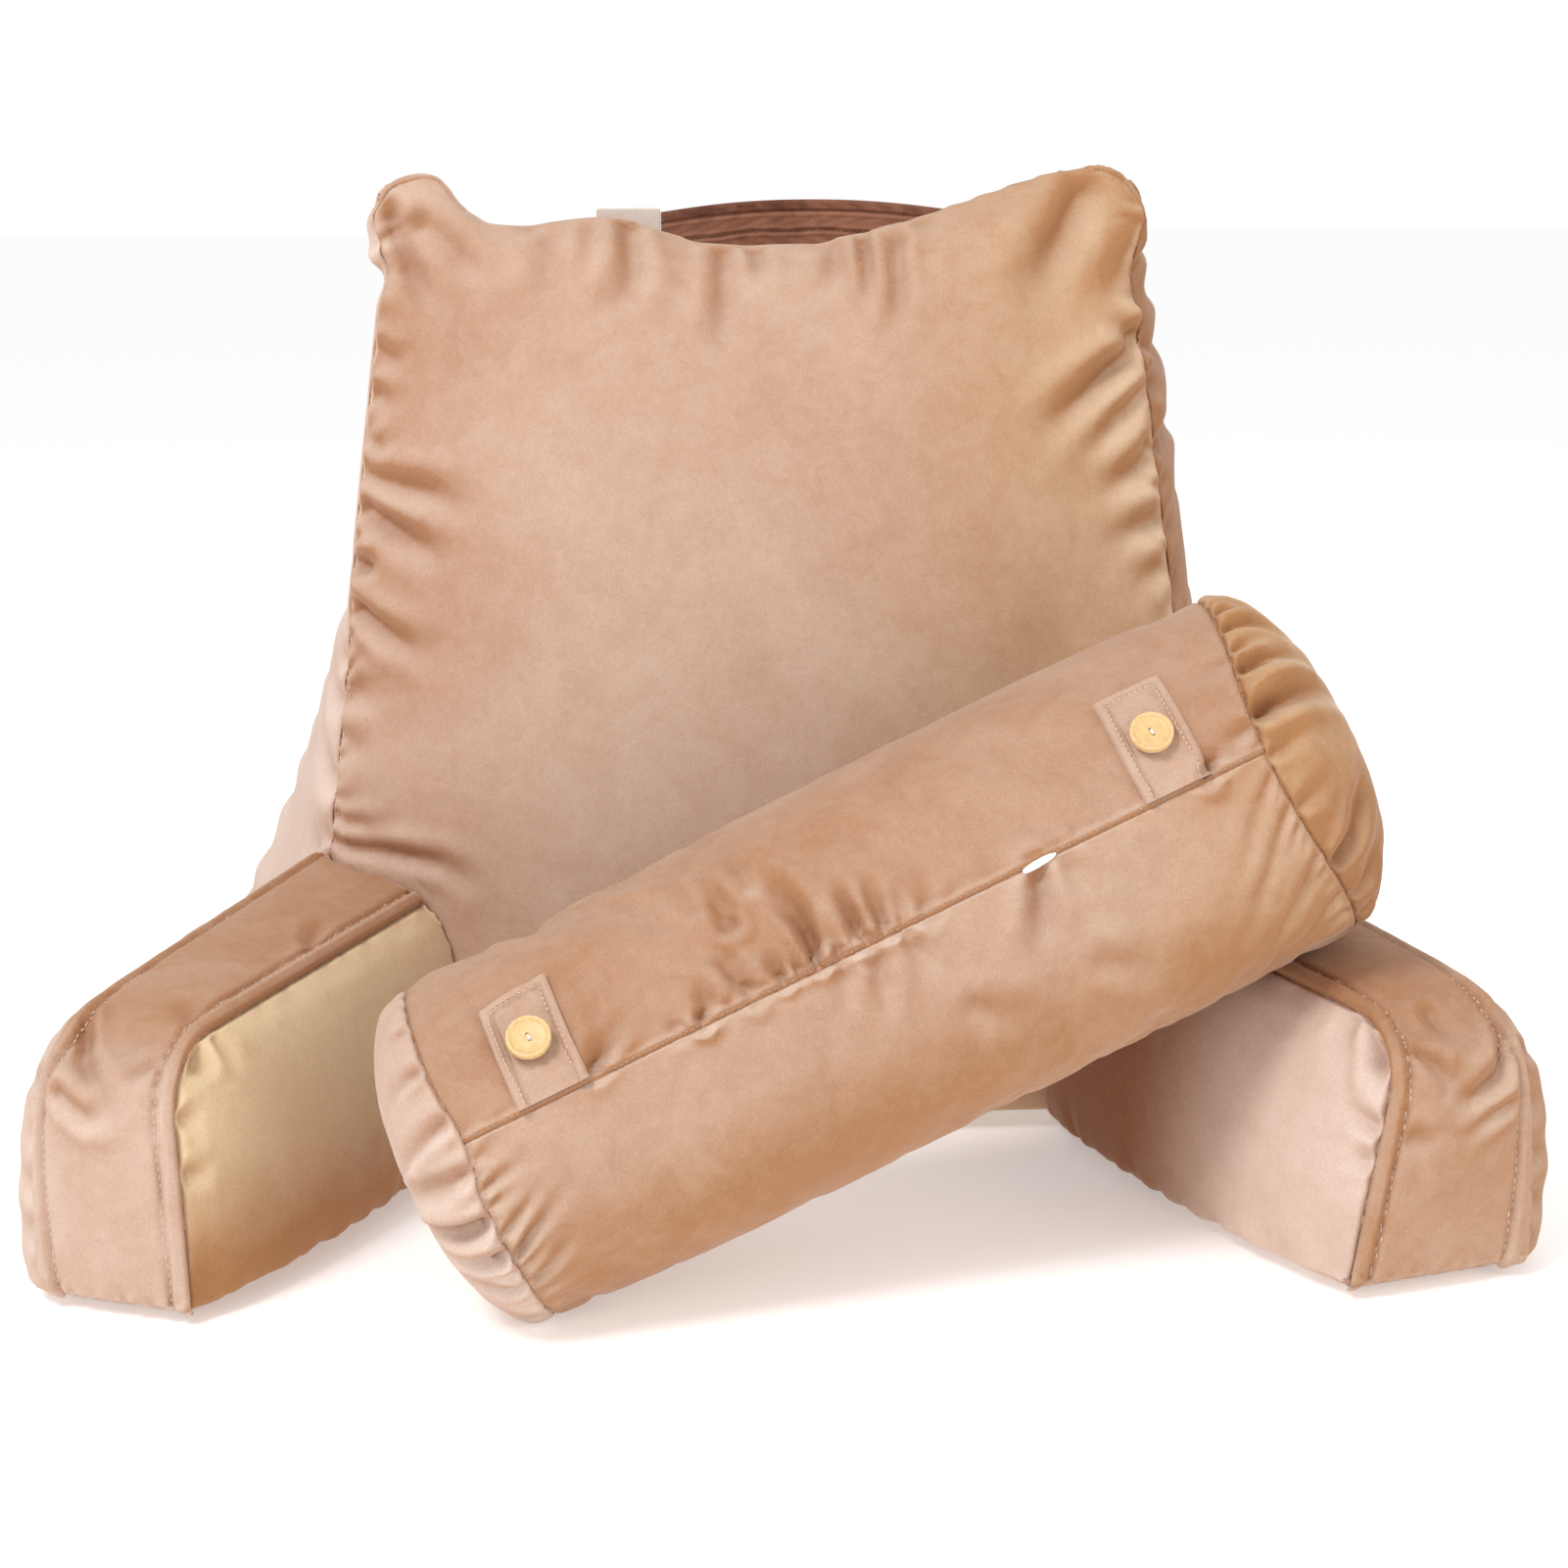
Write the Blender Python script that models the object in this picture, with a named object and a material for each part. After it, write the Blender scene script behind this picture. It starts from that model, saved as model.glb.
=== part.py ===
"""Back support pillow with its neck roll, in metres, +Z up.

The origin is the middle of the backrest's base. The pillow faces -Y, with its arms reaching
forward, and the neck roll lies across it: one end on the floor, the other on the right arm.
"""

import math
from collections import namedtuple

import bmesh
import bpy
from mathutils import Matrix, Vector
from mathutils.bvhtree import BVHTree

CLEARANCE = 0.0003

# Backrest: a wedge of a front panel, a back panel, two side panels and a flat base.
BACK_HEIGHT, PANEL_HEIGHT = 0.472, 0.500
FRONT_HALF_TOP, FRONT_TAPER = 0.190, 0.062
FRONT_FLARE, FRONT_FLARE_HEIGHT = 0.046, 0.150
REAR_HALF_TOP, REAR_TAPER, REAR_FLARE = 0.192, 0.075, 0.090
REAR_SHIFT, SHIFT_STARTS, SHIFT_ENDS = 0.009, (0.10, 0.30), (0.42, 0.48)
FRONT_Y_BASE, FRONT_Y_TOP, FRONT_BOW, FRONT_BOW_LIFT = -0.093, -0.092, 0.022, 0.75
REAR_Y_BASE, REAR_Y_TOP = 0.096, -0.079
LEAN_CURVE = 1.25
FRONT_CROWN, REAR_CROWN, TOP_CROWN, FRONT_LOW_FILL = 0.050, 0.030, 0.004, 0.12
SIDE_CROWN_LEFT, SIDE_CROWN_RIGHT = 0.008, 0.007
BASE_SEAM_HEIGHT, BASE_CORNER_ROUND = 0.007, 0.010
EAR_RISE_RIGHT, EAR_RISE_LEFT, LEFT_SHOULDER_RISE = 0.040, 0.029, 0.010
EAR_FLARE, EAR_FLARE_HEIGHT, EAR_FLARE_REACH = 0.011, 0.494, 0.021
EAR_ROUND = 0.004

# Arms: each one leaves the front panel and turns outward.
ARM_SPLAY = math.radians(22.4)
ARM_TOP_WIDTH = 0.068
ARM_FRONT_INNER = (0.279, -0.381, 0.125)
ARM_FRONT_BASE_INNER = {-1.0: (0.272, -0.389, 0.0), 1.0: (0.254, -0.389, 0.0)}
ARM_FRONT_BASE_OUTER = (0.350, -0.354, 0.0)
ARM_ROOT_BASE_INNER = (0.145, -0.052, 0.0)
ARM_ROOT_BASE_OUTER = (0.300, 0.004, 0.0)
ARM_TOP_LENGTH, ARM_INNER_RISE, ARM_OUTER_RISE = 0.310, 0.016, 0.036
ARM_TOP_CROWN, ARM_FRONT_CROWN = 0.009, 0.012
ARM_INNER_CROWN, ARM_OUTER_CROWN, ARM_BASE_BOW = 0.018, 0.028, 0.014
ARM_NOSE_RADIUS = 0.034
FELLED_SEAM_WIDTH, FELLED_SEAM_HEIGHT = 0.0095, 0.0014

# Neck roll: a round bolster with gathered ends, lying tilted.
ROLL_LEFT = Vector((-0.143, -0.367, 0.0722))
ROLL_RIGHT = Vector((0.242, -0.271, 0.2310))
ROLL_LEFT_RADIUS, ROLL_RIGHT_RADIUS, ROLL_CROWN = 0.0812, 0.0868, 0.0028
ROLL_LEFT_BULGE, ROLL_RIGHT_BULGE = 0.030, 0.030
ROLL_SKEW = 0.17
ROLL_SIDES, ROLL_RINGS, ROLL_CAP_RINGS = 64, 16, 6
GATHERS, GATHER_DEPTH = 16, 0.0018
ZIP_SEAM_DEPTH = 0.0022
SIGHT_LINE = Vector((-0.0438, -0.981, 0.189))
ZIP_ANGLE = math.radians(8.0)

# Button tabs, buttons and the zip pull on the neck roll.
TAB_WIDTH, TAB_THICKNESS = 0.034, 0.003
TAB_FROM_LEFT_SEAM, TAB_FROM_RIGHT_SEAM = 0.050, 0.064
TAB_START_ANGLE, TAB_END_ANGLE = math.radians(9.5), math.radians(46.0)
BUTTON_ANGLE = math.radians(27.3)
BUTTON_RADIUS, BUTTON_HEIGHT, BUTTON_RIM, BUTTON_DISH = 0.010, 0.0036, 0.0024, 0.0010
BUTTON_HOLE_RADIUS, BUTTON_HOLE_SPACING = 0.0011, 0.0042
PULL_LENGTH, PULL_WIDTH, PULL_THICKNESS, PULL_FROM_SEAM = 0.0175, 0.0046, 0.0016, 0.290
PULL_SINK = 0.00095

# Carry handle: a flat strap behind the top edge, held by a cuff at each end.
HANDLE_CENTRE_X, HANDLE_SPAN = 0.027, 0.158
STRAP_WIDTH, STRAP_THICKNESS, STRAP_BOW, STRAP_ARCH = 0.044, 0.004, 0.034, 0.006
STRAP_END_HEIGHT, SEAT_TOP_HEIGHT = 0.470, 0.452
CUFF_LENGTH, CUFF_HEIGHT, CUFF_THICKNESS = 0.034, 0.048, 0.007

VELVET = ("sand_velvet", (0.66, 0.47, 0.34, 1.0), 0.85)
DARK_VELVET = ("brown_velvet", (0.24, 0.10, 0.06, 1.0), 0.85)
BEECH = ("light_wood", (0.84, 0.64, 0.36, 1.0), 0.45)
WHITE = ("white_pull", (0.90, 0.90, 0.88, 1.0), 0.35)

# Creases pressed into the backrest's front panel: across (-1 to 1) and up (0 to 1) at each end.
Crease = namedtuple("Crease", "from_across from_up to_across to_up depth half_width")
FRONT_CREASES = (
    Crease(-0.97, 0.80, -0.72, 0.68, 0.0055, 0.050),
    Crease(-0.97, 0.66, -0.66, 0.52, 0.0065, 0.050),
    Crease(-0.97, 0.52, -0.78, 0.41, 0.0050, 0.045),
    Crease(-0.92, 0.34, -0.55, 0.20, 0.0075, 0.055),
    Crease(0.97, 0.76, 0.66, 0.64, 0.0055, 0.050),
    Crease(0.97, 0.64, 0.56, 0.51, 0.0070, 0.055),
    Crease(0.95, 0.52, 0.62, 0.34, 0.0060, 0.050),
    Crease(-0.88, 0.95, -0.60, 0.80, 0.0075, 0.055),
    Crease(0.88, 0.95, 0.62, 0.79, 0.0075, 0.055),
    Crease(-0.12, 0.985, -0.10, 0.84, 0.0045, 0.040),
    Crease(0.20, 0.985, 0.19, 0.82, 0.0050, 0.040),
)


def clear_scene():
    """Removes every object of the startup scene."""
    for obj in list(bpy.data.objects):
        bpy.data.objects.remove(obj, do_unlink=True)


def material(finish):
    """The plain material of one finish, made once."""
    name, colour, roughness = finish
    made = bpy.data.materials.get(name)
    if made is None:
        made = bpy.data.materials.new(name)
        made.use_nodes = True
        shader = made.node_tree.nodes["Principled BSDF"]
        shader.inputs["Base Color"].default_value = colour
        shader.inputs["Roughness"].default_value = roughness
        shader.inputs["Metallic"].default_value = 0.0
        made.diffuse_color = colour
    return made


def mix(low, high, share):
    """The value, or the point, at a share of the way from low to high."""
    return low + (high - low) * share


def smooth(low, high, value):
    """0 below low, 1 above high, and an eased step between them."""
    share = min(max((value - low) / (high - low), 0.0), 1.0)
    return share * share * (3.0 - 2.0 * share)


def swell(share, flatness=2.4, fullness=0.5):
    """The crown of a filled panel: 0 at both seams, 1 in the middle, and steep beside the seams."""
    return (1.0 - abs(2.0 * share - 1.0) ** flatness) ** fullness


def divisions(count, ease=0.55):
    """The inner cuts of a row of cells that are smaller towards both ends."""
    even = [step / count for step in range(1, count)]
    return [mix(share, 0.5 - 0.5 * math.cos(math.pi * share), ease) for share in even]


def add_object(name, builder, finish, flat_angle=math.radians(35)):
    """Makes the object of a finished bmesh, with smooth faces and sharp seams."""
    bmesh.ops.recalc_face_normals(builder, faces=builder.faces[:])
    mesh = bpy.data.meshes.new(name)
    builder.to_mesh(mesh)
    builder.free()
    mesh.materials.append(material(finish))
    mesh.shade_smooth()
    mesh.set_sharp_from_angle(angle=flat_angle)
    obj = bpy.data.objects.new(name, mesh)
    bpy.context.scene.collection.objects.link(obj)
    return obj


def cut_box(*cuts_by_axis):
    """A closed unit box, cut into cells at the given shares of each axis."""
    builder = bmesh.new()
    bmesh.ops.create_cube(builder, size=1.0, matrix=Matrix.Translation((0.5, 0.5, 0.5)))
    for axis, cuts in enumerate(cuts_by_axis):
        normal = Vector([float(index == axis) for index in range(3)])
        for cut in cuts:
            geometry = builder.verts[:] + builder.edges[:] + builder.faces[:]
            bmesh.ops.bisect_plane(
                builder, geom=geometry, dist=1e-6, plane_co=normal * cut, plane_no=normal
            )
    return builder


def shaped_box(name, cuts_by_axis, shape, finish):
    """A cut box whose points are moved by shape(a, b, c), as one object."""
    builder = cut_box(*cuts_by_axis)
    for vertex in builder.verts:
        shares = [min(max(round(value, 5), 0.0), 1.0) for value in vertex.co]
        vertex.co = shape(*shares)
    bmesh.ops.triangulate(builder, faces=builder.faces[:], quad_method="SHORT_EDGE")
    return add_object(name, builder, finish)


def clearance_cutter(name, source, distance=CLEARANCE):
    """A hidden copy of a solid, grown by the clearance, that cuts what lies against it."""
    builder = bmesh.new()
    builder.from_mesh(source.data)
    builder.normal_update()
    for vertex in builder.verts:
        vertex.co += vertex.normal * distance
    cutter = add_object(name, builder, VELVET)
    cutter.hide_render = True
    cutter.display_type = "WIRE"
    return cutter


def press_against(obj, cutter):
    """Cuts a solid back where it would sink into its neighbour."""
    cut = obj.modifiers.new("pressed_by_" + cutter.name, "BOOLEAN")
    cut.operation = "DIFFERENCE"
    cut.solver = "EXACT"
    cut.object = cutter


# Backrest


def top_height(across):
    """The height of the top edge: it dips in the middle and rises to the two ears."""
    side = abs(across)
    if across > 0.0:
        rise = EAR_RISE_RIGHT * smooth(0.05, 0.95, side)
    else:
        rise = LEFT_SHOULDER_RISE * smooth(0.12, 0.40, side)
        rise += EAR_RISE_LEFT * smooth(0.68, 0.88, side)
    return BACK_HEIGHT + rise


def ear_flare(height):
    """How much wider the two ears make the panels at a height."""
    away = (height - EAR_FLARE_HEIGHT) / EAR_FLARE_REACH
    return EAR_FLARE * math.exp(-away * away)


def front_half_width(height):
    """Half the front panel's width: it tapers upward and flares below the arms' tops."""
    low = max(1.0 - height / FRONT_FLARE_HEIGHT, 0.0)
    half = FRONT_HALF_TOP + FRONT_TAPER * (1.0 - height / PANEL_HEIGHT) + FRONT_FLARE * low**1.2
    return half + ear_flare(height)


def rear_half_width(height):
    """Half the back panel's width: it tapers upward, faster near the base."""
    low = max(1.0 - height / PANEL_HEIGHT, 0.0)
    return REAR_HALF_TOP + REAR_TAPER * low + REAR_FLARE * low**3 + ear_flare(height)


def crease_depth(across, up):
    """How far the creases press the front panel in at one point."""
    depth = 0.0
    for crease in FRONT_CREASES:
        start = Vector((crease.from_across, crease.from_up))
        run = Vector((crease.to_across, crease.to_up)) - start
        share = (Vector((across, up)) - start).dot(run) / run.length_squared
        nearest = start + run * min(max(share, 0.0), 1.0)
        away = (Vector((across, up)) - nearest).length / crease.half_width
        fade = 1.0 - smooth(0.55, 1.15, share)
        depth += crease.depth * fade * math.exp(-away * away)
    return depth


def backrest_point(a, b, c):
    """a runs from the left side to the right, b from front to back, c from base to top."""
    across = 2.0 * a - 1.0
    height = c * top_height(across)
    half = mix(front_half_width(height), rear_half_width(height), b)
    front = mix(FRONT_Y_BASE, FRONT_Y_TOP, c)
    front -= FRONT_BOW * math.sin(math.pi * c**FRONT_BOW_LIFT)
    rear = mix(REAR_Y_BASE, REAR_Y_TOP, c**LEAN_CURVE)
    shift = smooth(*SHIFT_STARTS, height) * (1.0 - smooth(*SHIFT_ENDS, height))
    point = Vector((across * half + REAR_SHIFT * b * shift, mix(front, rear, b), height))
    ear = smooth(0.90, 1.0, abs(across)) * smooth(0.95, 1.0, c)
    point.x -= math.copysign(EAR_ROUND, across) * ear
    point.z -= EAR_ROUND * ear
    base_corner = smooth(0.80, 1.0, abs(across)) * smooth(0.5, 1.0, b) * (1.0 - smooth(0.0, 0.2, c))
    point.x -= math.copysign(BASE_CORNER_ROUND, across) * base_corner
    point.y -= BASE_CORNER_ROUND * base_corner
    on_seam = sum(value in (0.0, 1.0) for value in (a, b, c)) > 1
    if on_seam and c == 0.0:
        point.z = BASE_SEAM_HEIGHT
    if on_seam:
        return point
    if b == 0.0:
        low_fill = 1.0 + FRONT_LOW_FILL * math.cos(math.pi * c)
        point.y -= FRONT_CROWN * swell(a) * swell(c, 2.2) * low_fill
        point.y += crease_depth(across, c)
    elif b == 1.0:
        point.y += REAR_CROWN * swell(a) * swell(c, 2.2)
    elif a == 0.0:
        point.x -= SIDE_CROWN_LEFT * swell(b) * swell(c)
    elif a == 1.0:
        point.x += SIDE_CROWN_RIGHT * swell(b) * swell(c)
    elif c == 1.0:
        point.z += TOP_CROWN * swell(b)
    return point


def make_backrest():
    """One filled cushion with a crowned front, back and sides and a flat base."""
    cuts = (divisions(30), divisions(8, 0.3), divisions(26))
    return shaped_box("backrest", cuts, backrest_point, VELVET)


# Arms


def rounded_nose(from_front, from_top):
    """Carries a point near the arm's front top edge onto a round nose."""
    radius = ARM_NOSE_RADIUS
    if from_front >= radius or from_top >= radius:
        return from_front, from_top
    run, rise = radius - from_front, radius - from_top
    scale = max(run, rise) / math.hypot(run, rise)
    return radius - run * scale, radius - rise * scale


def arm_point(side):
    """The shaping function of one arm; side is -1 for the left arm and 1 for the right one."""
    backward = Vector((-math.sin(ARM_SPLAY), math.cos(ARM_SPLAY), 0.0))
    outward = Vector((math.cos(ARM_SPLAY), math.sin(ARM_SPLAY), 0.0))
    top_inner = Vector(ARM_FRONT_INNER)
    top_outer = top_inner + outward * ARM_TOP_WIDTH
    top_inner_end = top_inner + backward * ARM_TOP_LENGTH + Vector((0.0, 0.0, ARM_INNER_RISE))
    top_outer_end = top_outer + backward * ARM_TOP_LENGTH + Vector((0.0, 0.0, ARM_OUTER_RISE))

    def shape(a, b, c):
        """a runs across from the inner side, b back from the front end, c up from the base."""
        base = mix(
            mix(Vector(ARM_FRONT_BASE_INNER[side]), Vector(ARM_FRONT_BASE_OUTER), a),
            mix(Vector(ARM_ROOT_BASE_INNER), Vector(ARM_ROOT_BASE_OUTER), a),
            b,
        )
        top = mix(mix(top_inner, top_outer, a), mix(top_inner_end, top_outer_end, a), b)
        point = mix(base, top, c)
        on_seam = (a in (0.0, 1.0)) and (b in (0.0, 1.0) or c in (0.0, 1.0))
        on_base_edge = c == 0.0 and b in (0.0, 1.0)
        if c == 0.0 and (on_seam or on_base_edge):
            point.z = BASE_SEAM_HEIGHT
        if b == 0.0 and not on_seam and c > 0.0:
            point -= backward * ARM_FRONT_CROWN * swell(a) * swell(0.5 * c)
        if c == 1.0 and not on_seam:
            point.z += ARM_TOP_CROWN * swell(a) * smooth(0.0, 0.2, b)
        bow = ARM_BASE_BOW * swell(b, 2.0, 1.0) * (1.0 - c)
        point += outward * bow * (2.0 * a - 1.0)
        if a == 0.0 and not on_seam:
            point -= outward * ARM_INNER_CROWN * swell(b, 3.0) * swell(c)
        if a == 1.0 and not on_seam:
            point += outward * ARM_OUTER_CROWN * swell(b, 3.0) * swell(c)
        length = (top_inner_end - top_inner).length
        from_front, from_top = rounded_nose(b * length, (1.0 - c) * top.z)
        point += backward * (from_front - b * length)
        point.z -= from_top - (1.0 - c) * top.z
        on_band = min(a, 1.0 - a) * ARM_TOP_WIDTH < FELLED_SEAM_WIDTH + CLEARANCE
        if on_band and c == 1.0:
            point.z += FELLED_SEAM_HEIGHT
        if on_band and b == 0.0 and c > 0.0:
            point -= backward * FELLED_SEAM_HEIGHT
        return Vector((side * point.x, point.y, point.z))

    return shape


def make_arm(name, side):
    """A filled arm, with a raised felled seam along both edges of its top and front strip."""
    band = FELLED_SEAM_WIDTH / ARM_TOP_WIDTH
    across = [band, band * 1.25, 0.28, 0.39, 0.5, 0.61, 0.72, 1.0 - band * 1.25, 1.0 - band]
    cuts = (across, divisions(17, 0.4), divisions(9))
    return shaped_box(name, cuts, arm_point(side), VELVET)


# Neck roll


def roll_axes():
    """The roll's own axes: along it, towards the viewer's side, and the way up from there."""
    along = (ROLL_RIGHT - ROLL_LEFT).normalized()
    toward = (SIGHT_LINE - along * SIGHT_LINE.dot(along)).normalized()
    return along, toward, -along.cross(toward)


def roll_radius(distance):
    """The roll's radius at a distance from its left end seam, fullest between its ends."""
    share = min(max(distance / (ROLL_RIGHT - ROLL_LEFT).length, 0.0), 1.0)
    return mix(ROLL_LEFT_RADIUS, ROLL_RIGHT_RADIUS, share) + ROLL_CROWN * swell(share, 2.0, 0.8)


def on_roll(distance, angle, radius):
    """A point by its distance along the roll, its angle above the sight line and its radius.

    The cover is twisted a little askew, so its near side sits further left than its far side.
    """
    along, toward, upward = roll_axes()
    spoke = toward * math.cos(angle) + upward * math.sin(angle)
    askew = -ROLL_SKEW * radius * math.cos(angle)
    return ROLL_LEFT + along * (distance + askew) + spoke * radius


def roll_profile():
    """(distance, radius, share towards the pole) of each ring, from the left pole to the right."""
    length = (ROLL_RIGHT - ROLL_LEFT).length
    quarter = math.pi / 2.0
    steps = [step / ROLL_CAP_RINGS for step in range(ROLL_CAP_RINGS)]
    rings = [
        (-ROLL_LEFT_BULGE * math.cos(quarter * t), ROLL_LEFT_RADIUS * math.sin(quarter * t) ** 0.8, t)
        for t in steps[1:]
    ]
    rings += [
        (length * step / ROLL_RINGS, roll_radius(length * step / ROLL_RINGS), 1.0)
        for step in range(ROLL_RINGS + 1)
    ]
    rings += [
        (
            length + ROLL_RIGHT_BULGE * math.cos(quarter * t),
            ROLL_RIGHT_RADIUS * math.sin(quarter * t) ** 0.8,
            t,
        )
        for t in reversed(steps[1:])
    ]
    return rings


def make_roll():
    """The bolster as rings bridged to one another and closed at its two poles."""
    builder = bmesh.new()
    length = (ROLL_RIGHT - ROLL_LEFT).length
    loops = []
    for distance, radius, cap_share in roll_profile():
        loop = []
        for side in range(ROLL_SIDES):
            angle = ZIP_ANGLE + math.tau * side / ROLL_SIDES
            gather = math.sin(GATHERS * math.tau * side / ROLL_SIDES) * GATHER_DEPTH
            fade = smooth(0.2, 0.75, cap_share) if cap_share < 1.0 else 0.0
            groove = ZIP_SEAM_DEPTH if side == 0 and cap_share == 1.0 else 0.0
            point = on_roll(distance, angle, radius + gather * fade - groove)
            loop.append(builder.verts.new((point.x, point.y, max(point.z, 0.0))))
        loops.append(loop)
    for loop in loops:
        for first, second in zip(loop, loop[1:] + loop[:1]):
            builder.edges.new((first, second))
    for near, far in zip(loops, loops[1:]):
        edges = [edge for edge in builder.edges if set(edge.verts) <= set(near) | set(far)]
        bmesh.ops.bridge_loops(builder, edges=edges)
    for loop, distance in ((loops[0], -ROLL_LEFT_BULGE), (loops[-1], length + ROLL_RIGHT_BULGE)):
        pole = builder.verts.new(on_roll(distance, 0.0, 0.0))
        for first, second in zip(loop, loop[1:] + loop[:1]):
            builder.faces.new((first, second, pole))
    bmesh.ops.triangulate(builder, faces=builder.faces[:])
    return add_object("neck_roll", builder, VELVET)


def make_tab(name, distance):
    """A hemmed strap that follows the roll from its zip seam upward."""

    def shape(a, b, c):
        place = distance + (a - 0.5) * TAB_WIDTH
        angle = mix(TAB_START_ANGLE, TAB_END_ANGLE, b)
        radius = roll_radius(distance) + CLEARANCE * 2.0
        return on_roll(place, angle, radius + c * TAB_THICKNESS)

    return shaped_box(name, (divisions(4, 0.0), divisions(9, 0.0), ()), shape, VELVET)


def make_button(name, distance):
    """A turned disc with a raised rim, a dished middle and two thread holes."""
    builder = bmesh.new()
    outline = (
        (0.0, 0.0),
        (BUTTON_RADIUS - 0.0012, 0.0),
        (BUTTON_RADIUS, 0.0012),
        (BUTTON_RADIUS, BUTTON_HEIGHT - 0.0010),
        (BUTTON_RADIUS - 0.0008, BUTTON_HEIGHT),
        (BUTTON_RADIUS - BUTTON_RIM, BUTTON_HEIGHT),
        (BUTTON_RADIUS - BUTTON_RIM - 0.0008, BUTTON_HEIGHT - BUTTON_DISH),
        (0.0, BUTTON_HEIGHT - BUTTON_DISH),
    )
    points = [builder.verts.new((radius, 0.0, height)) for radius, height in outline]
    edges = [builder.edges.new(pair) for pair in zip(points, points[1:])]
    bmesh.ops.spin(
        builder,
        geom=points + edges,
        axis=(0.0, 0.0, 1.0),
        cent=(0.0, 0.0, 0.0),
        angle=math.tau,
        steps=28,
    )
    bmesh.ops.remove_doubles(builder, verts=builder.verts[:], dist=1e-6)
    button = add_object(name, builder, BEECH)
    seat = roll_radius(distance) + CLEARANCE * 3.0 + TAB_THICKNESS
    along, toward, upward = roll_axes()
    spoke = toward * math.cos(BUTTON_ANGLE) + upward * math.sin(BUTTON_ANGLE)
    turn = Matrix((along, spoke.cross(along), spoke)).transposed().to_4x4()
    button.matrix_world = Matrix.Translation(on_roll(distance, BUTTON_ANGLE, seat)) @ turn
    for hand in (-0.5, 0.5):
        drill = bmesh.new()
        shift = Matrix.Translation((hand * BUTTON_HOLE_SPACING, 0.0, BUTTON_HEIGHT * 0.5))
        bmesh.ops.create_cone(
            drill,
            cap_ends=True,
            segments=12,
            radius1=BUTTON_HOLE_RADIUS,
            radius2=BUTTON_HOLE_RADIUS,
            depth=BUTTON_HEIGHT * 3.0,
            matrix=shift,
        )
        cutter = add_object(f"{name}_drill_{hand > 0:d}", drill, BEECH)
        cutter.matrix_world = button.matrix_world
        cutter.hide_render = True
        cutter.display_type = "WIRE"
        press_against(button, cutter)
    return button


def make_zip_pull():
    """A small flat pull that lies in the zip seam's groove, narrower at its ends."""

    def shape(a, b, c):
        place = PULL_FROM_SEAM + (a - 0.5) * PULL_LENGTH
        half = 0.5 * PULL_WIDTH * (1.0 - 0.55 * abs(2.0 * a - 1.0) ** 3)
        radius = roll_radius(place) + CLEARANCE - PULL_SINK
        turn = ZIP_ANGLE + (2.0 * b - 1.0) * half / radius - 0.045 * (2.0 * a - 1.0)
        return on_roll(place, turn, radius + c * PULL_THICKNESS)

    return shaped_box("zip_pull", (divisions(8), divisions(4), ()), shape, WHITE)


# Carry handle


def back_surface(backrest):
    """A function that gives how far back the backrest reaches at one x and z."""
    points = [vertex.co.copy() for vertex in backrest.data.vertices]
    faces = [tuple(polygon.vertices) for polygon in backrest.data.polygons]
    tree = BVHTree.FromPolygons(points, faces)

    def reach(x, z):
        hit = tree.ray_cast(Vector((x, 1.0, z)), Vector((0.0, -1.0, 0.0)))[0]
        return hit.y if hit else FRONT_Y_TOP

    return reach


def make_cuff(name, centre_x, reach):
    """The folded cloth cuff that holds one end of the strap on the back panel."""

    def shape(a, b, c):
        x = centre_x + (a - 0.5) * CUFF_LENGTH
        z = STRAP_END_HEIGHT + (c - 0.5) * CUFF_HEIGHT
        seat = reach(x, min(z, SEAT_TOP_HEIGHT)) + CLEARANCE * 2.0
        round_off = 0.0015 * max(abs(2.0 * a - 1.0), abs(2.0 * c - 1.0)) ** 6
        return Vector((x, seat + mix(0.0, CUFF_THICKNESS - round_off, b), z))

    return shaped_box(name, (divisions(6), (), divisions(8)), shape, VELVET)


def make_strap(left_x, right_x, reach):
    """The flat strap between the two cuffs: it bows back and arches up a little."""
    start = left_x + CUFF_LENGTH * 0.5 + CLEARANCE
    end = right_x - CUFF_LENGTH * 0.5 - CLEARANCE

    def shape(a, b, c):
        swing = (1.0 - abs(2.0 * a - 1.0) ** 2.2) ** 1.1
        x = mix(start, end, a)
        z = STRAP_END_HEIGHT + (c - 0.5) * STRAP_WIDTH
        seat = reach(x, min(z, SEAT_TOP_HEIGHT)) + CLEARANCE * 2.0
        middle = seat + CUFF_THICKNESS * 0.5 + STRAP_BOW * swing
        return Vector((x, middle + (b - 0.5) * STRAP_THICKNESS, z + STRAP_ARCH * swing))

    return shaped_box("handle_strap", (divisions(22, 0.0), (), divisions(4, 0.0)), shape, DARK_VELVET)


def make_handle(backrest):
    """The two cuffs on the back panel and the strap between them."""
    reach = back_surface(backrest)
    offset = 0.5 * (HANDLE_SPAN + CUFF_LENGTH)
    left_x, right_x = HANDLE_CENTRE_X - offset, HANDLE_CENTRE_X + offset
    make_cuff("handle_cuff_left", left_x, reach)
    make_cuff("handle_cuff_right", right_x, reach)
    make_strap(left_x, right_x, reach)


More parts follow.
